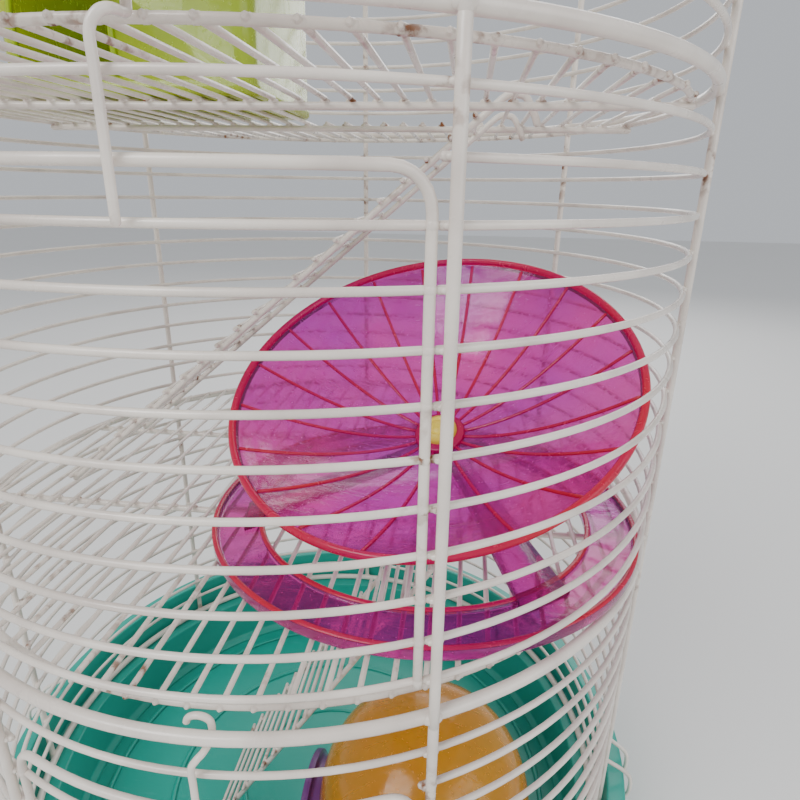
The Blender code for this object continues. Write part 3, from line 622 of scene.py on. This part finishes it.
def make_latch(side, foot_z, material):
    """The crook of wire that bolts the door: up the front, inwards, and hooked behind the thick ring."""
    ring_z = foot_z + STOREY_RINGS * RING_PITCH
    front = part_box(f"door_{side}_latch")[0][1] * -1 - LATCH_WIRE
    behind = WALL_RADIUS - CAD_THICK_HALF - 0.0018
    path = [
        (0.0, front, -LATCH_TAIL),
        (0.0, front, -0.022),
        (0.0, front, -0.012),
        (0.0, front, -0.0066),
        (0.4 * LATCH_HALF_HOOK, front - 0.0004, -0.0043),
        (0.8 * LATCH_HALF_HOOK, front - 0.0018, -0.0034),
        (LATCH_HALF_HOOK, behind + 0.0008, -0.0031),
        (LATCH_HALF_HOOK, behind, -0.0018),
    ]
    for step in range(7):
        angle = math.pi * step / 6
        path.append((LATCH_HALF_HOOK * math.cos(angle), behind, 0.0004 + 0.0022 * math.sin(angle)))
    points = [on_wall(LATCH_AZIMUTH + across / WALL_RADIUS, ring_z + z, reach) for across, reach, z in path]
    wires = Sculpt()
    wires.tube(smooth_path(points), LATCH_WIRE, THICK_SIDES)
    settle(wires.make(f"{side}_latch_wire", material), f"{side}_latch", "coated_wire", f"door_{side}_latch")


def make_hinge_loops(material):
    """Twisted wire wraps that hang each door on the left post."""
    post = on_wall(-POST_STEP / 2, 0, POST_RADIUS)
    upright = on_wall(-DOOR_EDGE, 0)
    middle = (post + upright) / 2
    along = (upright - post).normalized()
    outward = Vector((-along.y, along.x, 0))
    half_length = (upright - post).length / 2 + POST + HINGE_WRAP_ROOM
    half_width = POST + HINGE_WRAP_ROOM
    for side in ("lower", "middle"):
        for index in (1, 2):
            node = f"door_{side}_hinge_loop_{index}"
            low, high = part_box(node)
            centre = Vector((middle.x, middle.y, (low[2] + high[2]) / 2))
            path = []
            for step in range(HINGE_WRAP_TURNS * 20 + 1):
                angle = 2 * math.pi * step / 20
                reach = along * math.cos(angle) * half_length + outward * math.sin(angle) * half_width
                rise = HINGE_WRAP_PITCH * (step / 20 - HINGE_WRAP_TURNS / 2)
                path.append(centre + reach + Vector((0, 0, rise)))
            wires = Sculpt()
            wires.tube(path, HINGE_WRAP_WIRE, FINE_SIDES)
            settle(wires.make(f"{node}_wrap", material), "root", "plated_steel", node)


def make_floor(name, node, braces, material, hatch):
    """A wire floor: bars that run past the rim ring, two cross wires under them, and the ladder hatch."""
    low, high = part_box(node)
    z = (low[2] + high[2]) / 2
    brace_z = z - BAR - BRACE * 0.9
    half_y = BRACE_Y - 0.0002
    wires = Sculpt()
    wires.tube(sweep(0, 2 * math.pi, z, DISC_RADIUS)[:-1], RIM, closed=True)
    for index in range(-BARS_EACH_SIDE, BARS_EACH_SIDE + 1):
        x = index * BAR_PITCH
        reach = math.sqrt(NUB_RADIUS**2 - x**2)
        bar_z = z + 0.0002
        cut = hatch and HATCH_LOW_BAR < index < HATCH_HIGH_BAR
        runs = [(-reach, -half_y), (half_y, reach)] if cut else [(-reach, reach)]
        for start, end in runs:
            bar = [(x, start + (end - start) * step / 4, bar_z) for step in range(5)]
            wires.tube(bar, BAR, FINE_SIDES)
        for y in (-BRACE_Y, BRACE_Y):
            wires.bead((x, y, z - BAR * 0.8), (1, 0, 0), BAR * 1.1, SMALL_BEAD)
        rim_y = math.sqrt(DISC_RADIUS**2 - x**2)
        for y in (-rim_y, rim_y):
            wires.bead((x, y, z), (1, 0, 0), RIM * 1.15, SMALL_BEAD)
    settle(wires.make(name, material), "root", "coated_wire", node)
    for y, brace in zip((-BRACE_Y, BRACE_Y), braces):
        wires = Sculpt()
        low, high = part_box(brace)
        path = [(low[0] + (high[0] - low[0]) * step / 12, y, brace_z) for step in range(13)]
        wires.tube(path, BRACE)
        settle(wires.make(f"{brace}_wire", material), "root", "coated_wire", brace)


def make_ladder(side, floor_z, mid_y, half_width, material):
    """Two rails with hooks over the hatch's edge bar, and rungs whose cut ends stand past the rails."""
    node = f"ladder_{side}"
    bar = Vector(joints[f"{side}_ladder_hook"]["pos_m"])
    rail_z = bar.z + BAR + 0.0003 + CAD_RAIL
    foot_z = floor_z + 0.0012 + CAD_RAIL
    lean = math.asin((rail_z - foot_z) / LADDER_LENGTH)
    up = Vector((math.cos(lean), 0, math.sin(lean)))
    out = Vector((-math.sin(lean), 0, math.cos(lean)))
    top = Vector((bar.x - LADDER_SET_BACK, mid_y, rail_z))
    foot = top - up * LADDER_LENGTH
    wires = Sculpt()
    for sign in (-1, 1):
        across = Vector((0, sign * half_width, 0))
        path = [foot + across + up * LADDER_LENGTH * step / 12 * LADDER_STRAIGHT_SHARE for step in range(13)]
        hook = [
            path[-1],
            top + across + Vector((0.0002, 0, 0.0)),
            Vector((bar.x + 0.0022, mid_y + across.y, rail_z + 0.0002)),
            Vector((bar.x + 0.0044, mid_y + across.y, rail_z - 0.0008)),
            Vector((bar.x + 0.0068, mid_y + across.y, rail_z - 0.0048)),
            Vector((bar.x + 0.0080, mid_y + across.y, rail_z - 0.0078)),
        ]
        wires.tube(path[:-1] + smooth_path(hook), RAIL)
    reach = half_width + RAIL + RUNG_OVERHANG
    for rung in range(RUNGS):
        centre = foot + up * (0.0014 + rung * RUNG_PITCH) + out * (RAIL + RUNG * 0.55)
        path = [centre + Vector((0, reach * (step / 2 - 1), 0)) for step in range(5)]
        wires.tube(path, RUNG, FINE_SIDES)
        for sign in (-1, 1):
            spot = centre + Vector((0, sign * half_width, 0)) - out * RUNG * 0.7
            wires.bead(spot, (0, 1, 0), RUNG * 1.2, RUNG_BEAD)
    settle(wires.make(f"{side}_ladder_wires", material), f"{side}_ladder", "coated_wire", node)


def make_clips(material):
    """Spring wire bails that hang on the wall's ring and hook under the tray's lip."""
    rim_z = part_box("tray")[1][2]
    tray_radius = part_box("tray")[1][0]
    for side in ("left", "right"):
        joint = joints[f"clip_{side}_swing"]
        pivot = Vector(joint["pos_m"])
        outward = Vector((pivot.x, pivot.y, 0)).normalized()
        across = Vector((0, 0, 1)).cross(outward)
        pivot_reach = Vector((pivot.x, pivot.y, 0)).length
        side_path = [
            (pivot_reach, pivot.z),
            (tray_radius - 0.0010, rim_z + 0.0045),
            (tray_radius + 0.0022, rim_z + 0.0002),
            (tray_radius + 0.0022, rim_z - 0.0078),
            (tray_radius - 0.0006, rim_z - 0.0097),
        ]
        points = []
        for sign, path in ((-1, side_path), (1, side_path[::-1])):
            sideways = across * sign * CLIP_HALF_WIDTH
            points += [outward * reach + sideways + Vector((0, 0, z)) for reach, z in path]
        smooth = smooth_path(points + [points[0]], 5)[:-1]
        wires = Sculpt()
        wires.tube(smooth, CLIP_WIRE, closed=True)
        wire = wires.make(f"tray_clip_{side}_wire", material)
        settle(wire, f"clip_{side}", "coated_wire", f"tray_clip_{side}")


def make_handle(material, steel):
    """The carrying bail, folded back on the roof, and the two eyes it turns in."""
    low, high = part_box("carry_handle")
    pivot = Vector(joints["handle_swing"]["pos_m"])
    radius = (high[2] - low[2]) / 2
    half = high[0] - radius
    far = high[1] - radius
    points = [Vector((half - 0.010, 0, pivot.z)), Vector((half - HANDLE_SMALL_BEND, 0, pivot.z))]
    for step in range(5):
        angle = math.pi / 2 * step / 4
        across = half - HANDLE_SMALL_BEND * (1 - math.sin(angle))
        points.append(Vector((across, HANDLE_SMALL_BEND * (1 - math.cos(angle)), pivot.z)))
    for step in range(9):
        angle = math.pi / 2 * step / 8
        across = half - HANDLE_BEND * (1 - math.cos(angle))
        points.append(Vector((across, far - HANDLE_BEND * (1 - math.sin(angle)), pivot.z)))
    mirrored = [Vector((-point.x, point.y, point.z)) for point in reversed(points)]
    wires = Sculpt()
    wires.tube(points + mirrored, radius * 0.97, 14)
    settle(wires.make("carry_handle_wire", material), "handle", "coated_wire", "carry_handle")
    for side in ("left", "right"):
        low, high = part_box(f"handle_eye_{side}")
        centre = (Vector(low) + Vector(high)) / 2
        ring = []
        for step in range(24):
            angle = 2 * math.pi * step / 24
            ring.append(centre + Vector((0, math.sin(angle) * EYE_RADIUS, math.cos(angle) * EYE_RADIUS)))
        eye = Sculpt()
        eye.tube(ring, EYE_WIRE, closed=True)
        settle(eye.make(f"handle_eye_{side}_ring", steel), "root", "plated_steel", f"handle_eye_{side}")


# ---------------------------------------------------------------- plastic pieces


def make_tray(material):
    """The moulded tray: a floor with low rings, a round side, a ledge for the cage, and a rolled lip."""
    rim_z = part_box("tray")[1][2]
    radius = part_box("tray")[1][0]
    ledge = BASE_RING_Z - CAD_THICK_HALF - 0.0003
    low_rim = rim_z - TRAY_RIM_DEPTH
    under_rim = rim_z - TRAY_SKIN
    inside = [(0.1170, TRAY_FLOOR_Z), (0.1203, 0.0050), (0.1218, ledge), (0.1324, ledge), (0.1334, rim_z)]
    outside = [(radius, rim_z), (radius, low_rim), (0.1390, low_rim), (0.1390, under_rim)]
    outside += [(0.1355, under_rim), (0.1345, ledge - 0.0022), (0.1240, ledge - 0.0022), (0.1225, 0.0040)]
    outside += [(0.1180, 0.0)]
    outline = rounded(inside + outside, 0.0011, 4)
    tray = Sculpt()
    tray.turned([(0, TRAY_FLOOR_Z)] + outline + [(0, 0)], TRAY_SEGMENTS)
    made = tray.make("tray_shell", material, 60)
    settle(made, "root", "tray_plastic", "tray")
    ribs = Sculpt()
    for ring_radius in TRAY_RINGS:
        low_z = TRAY_FLOOR_Z - 0.0005
        high_z = TRAY_FLOOR_Z + 0.0006
        outline = [(ring_radius, low_z), (ring_radius + TRAY_RING_WIDTH, low_z)]
        outline += [(ring_radius + 0.0022, high_z), (ring_radius + 0.0006, high_z)]
        ribs.turned(rounded(outline, 0.0005), TRAY_SEGMENTS)
    settle(ribs.make("tray_floor_rings", material, 60), "root", "tray_plastic")


def bowl_height(radius):
    """Height of the saucer's inner face above its hub."""
    share = min(max((radius - HUB_RADIUS) / (WHEEL_RADIUS - HUB_RADIUS), 0), 1)
    return WHEEL_DEPTH * share**1.7


def make_wheel(pink, red, yellow, steel):
    spin = joints["saucer_spin"]
    place = along_axis(spin["pos_m"], spin["axis"])
    stations = [0.0031] + [WHEEL_RADIUS * share for share in np.linspace(0.09, 0.985, 22)]
    inner = [(radius, bowl_height(radius)) for radius in stations]
    outer = [(radius, height - WHEEL_WALL) for radius, height in inner]
    dish = Sculpt()
    dish.turned(outer + inner[::-1], WHEEL_SEGMENTS, place)
    settle(dish.make("saucer_dish", pink), "saucer", "wheel_plastic", "wheel_saucer")
    # Rim, hub collar and ribs take the deep red: painted deeper tint where light passes edge-on through the
    # thick clear pink.
    rim = Sculpt()
    lip = []
    for step in range(14):
        angle = 2 * math.pi * step / 14
        reach = WHEEL_RADIUS + 0.0001 + 0.0013 * math.cos(angle)
        lip.append((reach, WHEEL_DEPTH - 0.0002 + 0.0017 * math.sin(angle)))
    rim.turned(lip[::-1], WHEEL_SEGMENTS, place)
    collar = [(0.0033, -0.0015), (0.0100, -0.0008), (0.0096, 0.0016), (0.0072, 0.0022), (0.0033, 0.0004)]
    rim.turned(rounded(collar, 0.0006), 64, place)
    settle(rim.make("saucer_rim", red), "saucer", "wheel_plastic")
    ribs = Sculpt()
    for rib in range(RIBS):
        start = 2 * math.pi * (rib + 0.25) / RIBS
        path = []
        for share in np.linspace(0.13, 0.975, 20):
            radius = WHEEL_RADIUS * share
            height = bowl_height(radius) + 0.00015
            path.append(place @ Vector((radius * math.sin(start), -radius * math.cos(start), height)))
        ribs.tube(path, RIB_WIRE, FINE_SIDES)
    settle(ribs.make("saucer_ribs", red), "saucer", "wheel_plastic")
    cap = Sculpt()
    outline = [(0, 0.0006), (HUB_RADIUS * 0.96, 0.0006), (HUB_RADIUS, 0.0011), (HUB_RADIUS, 0.0030)]
    outline += [(HUB_RADIUS * 0.93, 0.0040), (0.0052, 0.0048), (0.0046, 0.0053), (0.0040, 0.0048)]
    outline += [(0.0036, 0.0046), (0.0030, 0.0052), (0.0014, 0.0056), (0, 0.0057)]
    cap.turned(outline, 64, place)
    settle(cap.make("saucer_hub_cap", yellow, 60), "saucer", "hub_plastic", "wheel_hub_cap")
    pin = Sculpt()
    outline = [(0, -0.0088), (0.0022, -0.0088), (0.0025, -0.0084)]
    outline += [(0.0025, 0.0001), (0.0022, 0.0003), (0, 0.0003)]
    pin.turned(outline, 40, place)
    settle(pin.make("wheel_pin", steel), "root", "plated_steel", "wheel_axle")


def make_stand(pink, red):
    """The stand: a flat ring with turned-up edges, three arms, and a tilted boss for the pin."""
    spin = joints["saucer_spin"]
    hub = Vector(spin["pos_m"])
    axis = Vector(spin["axis"])
    centre = Vector((STAND_X, STAND_Y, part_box("wheel_stand")[0][2]))
    base = Matrix.Translation(centre)
    section = [(STAND_HOLE, 0), (STAND_RADIUS, 0), (STAND_RADIUS, STAND_LIP)]
    section += [(STAND_RADIUS - 0.0016, STAND_LIP), (STAND_RADIUS - 0.0020, STAND_SHEET)]
    section += [(STAND_HOLE + 0.0018, STAND_SHEET), (STAND_HOLE + 0.0014, STAND_HOLE_LIP)]
    section += [(STAND_HOLE, STAND_HOLE_LIP)]
    section = rounded(section, 0.0006)
    ring = Sculpt()
    ring.turned(section, WHEEL_SEGMENTS, base)
    stand = ring.make("stand_ring", pink)
    joint = hub - axis * 0.0085
    arms = Sculpt()
    for azimuth in STAND_ARMS:
        outward = Vector((math.cos(azimuth), math.sin(azimuth), 0))
        across = Vector((-outward.y, outward.x, 0))
        start = joint + outward * 0.0030
        end = centre + outward * (STAND_HOLE + 0.0060) + Vector((0, 0, 0.0020))
        loops = []
        for step in range(15):
            share = step / 14
            point = start.lerp(end, share)
            half_width = 0.0048 + 0.0042 * share**1.6
            half_height = 0.0020 - 0.0008 * share
            loop = []
            for side, high_side in ARM_SECTION:
                loop.append(point + across * side * half_width + Vector((0, 0, high_side * half_height)))
            loops.append(loop)
        arms.loft(loops)
    place = along_axis(hub, axis)
    boss = [(0.0029, -0.0100), (0.0062, -0.0100), (0.0052, -0.0026), (0.0029, -0.0026)]
    arms.turned(rounded(boss, 0.0006), 64, place)
    settle(stand, "root", "wheel_plastic", "wheel_stand")
    settle(arms.make("stand_arms", pink), "root", "wheel_plastic")
    # The stand's rolled edges take the deep red: painted deeper tint where light passes edge-on through the
    # thick clear pink.
    edges = Sculpt()
    for radius, height in ((STAND_RADIUS - 0.0008, STAND_LIP), (STAND_HOLE + 0.0008, STAND_HOLE_LIP)):
        lip = []
        for step in range(10):
            angle = 2 * math.pi * step / 10
            lip.append((radius + 0.0009 * math.cos(angle), height + 0.0005 * math.sin(angle)))
        edges.turned(lip[::-1], WHEEL_SEGMENTS, base)
    settle(edges.make("stand_edges", red), "root", "wheel_plastic")


def box_loop(low, high, z, corner, steps=5):
    """A rounded rectangle at height z, from corner to corner anticlockwise."""
    made = []
    for sx, sy, start in ((1, -1, -90), (1, 1, 0), (-1, 1, 90), (-1, -1, 180)):
        middle_x = (high[0] if sx > 0 else low[0]) - sx * corner
        middle_y = (high[1] if sy > 0 else low[1]) - sy * corner
        for step in range(steps + 1):
            angle = math.radians(start + 90 * step / steps)
            made.append(Vector((middle_x + corner * math.cos(angle), middle_y + corner * math.sin(angle), z)))
    return made


def shrink(low, high, by):
    return (low[0] + by, low[1] + by), (high[0] - by, high[1] - by)


def boolean(target, cutter, operation):
    modifier = target.modifiers.new(cutter.name, "BOOLEAN")
    modifier.operation = operation
    modifier.object = cutter
    modifier.solver = "EXACT"
    bpy.context.view_layer.objects.active = target
    bpy.ops.object.modifier_apply(modifier=modifier.name)
    bpy.data.objects.remove(cutter, do_unlink=True)


def make_nest_box(lime, edge):
    """A clear moulded box with round corners and a foot bead, an arched doorway with a frame, and its lid."""
    low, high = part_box("nest_box")
    wall = NEST_WALL
    corner = NEST_CORNER
    loops = []
    for rise, inset in ((0.0, 0.0008), (0.0008, 0.0), (0.0030, 0.0), (0.0036, 0.0006)):
        loops.append(box_loop(*shrink(low, high, inset), low[2] + rise, corner - inset))
    loops.append(box_loop(*shrink(low, high, 0.0002), high[2] - 0.0030, corner))
    loops.append(box_loop(low, high, high[2] - 0.0026, corner))
    loops.append(box_loop(low, high, high[2], corner))
    loops.append(box_loop(*shrink(low, high, wall), high[2], corner - wall))
    loops.append(box_loop(*shrink(low, high, wall), low[2] + wall + 0.0015, corner - wall))
    loops.append(box_loop(*shrink(low, high, wall + 0.0015), low[2] + wall, corner - wall))
    shell = Sculpt()
    shell.loft(loops)
    box = shell.make("nest_box_shell", lime, 50)
    door_x = low[0] + DOORWAY_X
    door_z = low[2] + DOORWAY_SILL
    arch = [(-DOORWAY_HALF, 0.0), (DOORWAY_HALF, 0.0)]
    for step in range(13):
        angle = math.pi * step / 12
        arch.append((DOORWAY_HALF * math.cos(angle), DOORWAY_SIDE + DOORWAY_HALF * math.sin(angle)))
    cutter = Sculpt()
    cutter.loft([[Vector((door_x + x, low[1] + y, door_z + z)) for x, z in arch] for y in (-0.01, 0.01)])
    boolean(box, cutter.make("nest_doorway_cutter", lime), "DIFFERENCE")
    settle(box, "nest", "nest_plastic", "nest_box")
    frame_wire = Sculpt()
    frame_path = [Vector((door_x + x * 1.03, low[1] + 0.0004, door_z + z)) for x, z in arch[2:]]
    ends = [Vector((door_x + side * 0.01545, low[1] + 0.0004, door_z)) for side in (1, -1)]
    frame_wire.tube([ends[0]] + frame_path + [ends[1]], DOORWAY_TRIM, FINE_SIDES)
    settle(frame_wire.make("nest_doorway_trim", edge), "nest", "nest_plastic")
    lid_low, lid_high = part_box("nest_box_lid")
    top = lid_high[2]
    seat = high[2] + 0.0003
    lid = Sculpt()
    drop = wall + 0.0004
    lid.loft(
        [
            box_loop(*shrink(low, high, drop), high[2] - 0.0028, corner - drop),
            box_loop(*shrink(low, high, drop), seat, corner - drop),
            box_loop(lid_low, lid_high, seat, corner),
            box_loop(lid_low, lid_high, top - 0.0012, corner),
            box_loop(*shrink(lid_low, lid_high, 0.0009), top - 0.0002, corner),
            box_loop(*shrink(lid_low, lid_high, 0.0070), top, corner),
            box_loop(*shrink(lid_low, lid_high, 0.0085), top - 0.0014, corner),
            box_loop(*shrink(lid_low, lid_high, 0.0300), top - 0.0012, corner * 0.5),
        ]
    )
    settle(lid.make("nest_box_lid_shell", lime, 50), "nest_lid", "nest_plastic", "nest_box_lid")


def make_hideout(orange, purple):
    """The tall clear bell with moulded ridges on its ring base, and the purple tunnel through its side."""
    low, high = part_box("hideout_dome")
    base_low, base_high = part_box("hideout_base")
    radius = HIDE_RADIUS
    centre = Vector(((base_low[0] + base_high[0]) / 2, (base_low[1] + base_high[1]) / 2, base_low[2]))
    place = Matrix.Translation(centre)
    foot = low[2] - base_low[2]
    height = high[2] - base_low[2]
    shoulder = HIDE_SHOULDER_SHARE * height
    crown = height - shoulder
    wall = HIDE_WALL
    band = foot + HIDE_LOW_BAND
    outer = [(radius, foot), (radius, band)]
    for step in range(1, 15):
        z = band + (shoulder - foot - HIDE_LOW_BAND) * step / 14
        ridge = HIDE_RIDGE if step % 4 == 2 else 0.0
        outer.append((radius - HIDE_TAPER * step / 14 + ridge, z))
    for step in range(1, 19):
        angle = math.pi / 2 * step / 19
        outer.append(((radius - HIDE_TAPER) * math.cos(angle), shoulder + crown * math.sin(angle)))
    inner = [(reach - wall, z - (wall if z > shoulder else 0)) for reach, z in outer if reach > wall + 0.002]
    bell = Sculpt()
    bell.turned([(0, height)] + outer[::-1] + inner + [(0, height - wall)], HIDE_SEGMENTS, place)
    dome = bell.make("hideout_bell", orange, 50)
    tunnel_low, tunnel_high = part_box("hideout_tunnel")
    along = Vector((-1, 0, 0))
    start = centre + along * (radius - TUNNEL_INSIDE)
    start.z = (tunnel_low[2] + tunnel_high[2]) / 2
    length = TUNNEL_LENGTH
    tunnel_place = along_axis(start, along)
    cutter = Sculpt()
    cut = [(0, -wall), (TUNNEL_CUT_RADIUS, -wall), (TUNNEL_CUT_RADIUS, length), (0, length)]
    cutter.turned(cut, TUNNEL_SEGMENTS, tunnel_place)
    boolean(dome, cutter.make("hideout_cutter", orange), "DIFFERENCE")
    settle(dome, "hideout", "hideout_plastic", "hideout_dome")
    flange_z = length - TUNNEL_FLANGE
    sleeve = [(TUNNEL_BORE, 0.0), (TUNNEL_RADIUS, 0.0), (TUNNEL_RADIUS, length - 0.0042), (0.0242, flange_z)]
    sleeve += [(TUNNEL_FLANGE_RADIUS, flange_z), (TUNNEL_FLANGE_RADIUS, length), (0.0216, length)]
    sleeve += [(TUNNEL_BORE, length - 0.0008)]
    tube = Sculpt()
    tube.turned(rounded(sleeve, 0.0007), TUNNEL_SEGMENTS, tunnel_place)
    settle(tube.make("hideout_tunnel_sleeve", purple, 60), "hideout", "tunnel_plastic", "hideout_tunnel")
    foot_ring = [(radius - 0.007, 0), (radius + 0.0035, 0), (radius + 0.0035, 0.0030)]
    foot_ring += [(radius + 0.0022, 0.0056), (radius + 0.0009, 0.0056)]
    foot_ring += [(radius + 0.0009, 0.0030), (radius - 0.007, 0.0030)]
    ring = Sculpt()
    ring.turned(rounded(foot_ring, 0.0005), HIDE_SEGMENTS, place)
    settle(ring.make("hideout_foot_ring", purple, 60), "root", "tunnel_plastic", "hideout_base")


# ---------------------------------------------------------------- scene


def make_stage():
    floor_material, shader = new_material("pale_floor", (0.80, 0.79, 0.77), 0.7)
    tree = floor_material.node_tree
    tree.links.new(spread(tree, noise(tree, 4.0), 0.3, 0.7, 0.6, 0.8), shader.inputs["Roughness"])
    floor = Sculpt()
    half = FLOOR_HALF_SIZE
    floor.add([(-half, -half, 0), (half, -half, 0), (half, half, 0), (-half, half, 0)], [[0, 1, 2, 3]])
    floor.make("pale_floor", floor_material)
    world = bpy.data.worlds.new("studio")
    world.use_nodes = True
    world.node_tree.nodes["Background"].inputs["Color"].default_value = (0.90, 0.94, 1.0, 1)
    world.node_tree.nodes["Background"].inputs["Strength"].default_value = WORLD_STRENGTH
    bpy.context.scene.world = world
    for name, place, size, power in LIGHTS:
        light = bpy.data.lights.new(name, "AREA")
        light.size = size
        light.energy = power
        lamp = bpy.data.objects.new(name, light)
        lamp.location = place
        aim = Vector(LIGHT_TARGET) - Vector(place)
        lamp.rotation_euler = aim.to_track_quat("-Z", "Y").to_euler()
        bpy.context.scene.collection.objects.link(lamp)


def make_camera():
    """The photograph's viewpoint: close to the wall, at the middle storey, looking a little down."""
    camera = bpy.data.cameras.new("camera")
    camera.lens = CAMERA_LENS
    camera.sensor_width = CAMERA_SENSOR
    camera.clip_start = 0.005
    view = bpy.data.objects.new("camera", camera)
    forward = Vector(CAMERA_FORWARD).normalized()
    up = Vector(CAMERA_UP).normalized()
    right = forward.cross(up).normalized()
    up = right.cross(forward)
    turn = Matrix((right, up, -forward)).transposed().to_4x4()
    at = Vector(CAMERA_PITCHES) * RING_PITCH + Vector((0, 0, FLOOR_3_RING_Z))
    view.matrix_world = Matrix.Translation(at) @ turn
    bpy.context.scene.collection.objects.link(view)
    bpy.context.scene.camera = view


def build():
    coated = coated_wire()
    steel = plated_steel()
    # The deeper purple clouded into the pink is painted colour of a blue wall seen through the clear plastic.
    pink = clear_plastic("clear_pink", (0.82, 0.07, 0.42), (0.54, 0.05, 0.50), 0.85)
    # The deep red on the saucer's rim, collar and ribs and the stand's edges is painted deeper tint of light
    # passing edge-on through the thick clear pink.
    red = clear_plastic("deep_red_painted_edge_tint", (0.82, 0.02, 0.06), (0.62, 0.0, 0.18), 0.35, 0.12)
    yellow = moulded_plastic("yellow_cap", (0.90, 0.68, 0.04), (0.96, 0.84, 0.30), 0.35, 900.0)
    lime = clear_plastic("clear_lime", (0.66, 0.76, 0.03), (0.50, 0.66, 0.05), 0.45, 0.14)
    lime_edge = clear_plastic("lime_edge", (0.50, 0.70, 0.02), (0.42, 0.62, 0.02), 0.3, 0.15)
    orange = clear_plastic("clear_amber", (0.95, 0.50, 0.03), (0.90, 0.36, 0.01), 0.60, 0.12)
    purple = moulded_plastic("purple_tunnel", (0.13, 0.03, 0.18), (0.26, 0.12, 0.32), 0.28, 800.0)
    teal = moulded_plastic("teal_tray", (0.004, 0.34, 0.26), (0.05, 0.44, 0.36), 0.35, 700.0)
    make_tray(teal)
    doorway = range(1, DOOR_LAST_RING + 2)
    make_wall("lower", BASE_RING_Z, STOREY_RINGS, doorway[1:], coated)
    make_wall("middle", FLOOR_2_RING_Z, STOREY_RINGS, doorway, coated)
    make_wall("upper", FLOOR_3_RING_Z, TOP_STOREY_RINGS, (), coated, True)
    make_door("lower", BASE_RING_Z, 2, coated)
    make_door("middle", FLOOR_2_RING_Z, 1, coated)
    make_hinge_loops(steel)
    for name in ("floor_middle", "floor_upper", "roof"):
        braces = (f"{name}_brace_front", f"{name}_brace_back")
        make_floor(f"{name}_wires", name, braces, coated, name != "roof")
    make_ladder("lower", TRAY_FLOOR_Z, -0.0060, 2.25 * RING_PITCH, coated)
    make_ladder("upper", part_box("floor_middle")[1][2], 0.0010, 2.45 * RING_PITCH, coated)
    make_clips(coated)
    make_handle(coated, steel)
    make_wheel(pink, red, yellow, steel)
    make_stand(pink, red)
    make_nest_box(lime, lime_edge)
    make_hideout(orange, purple)
    make_stage()
    make_camera()


build()
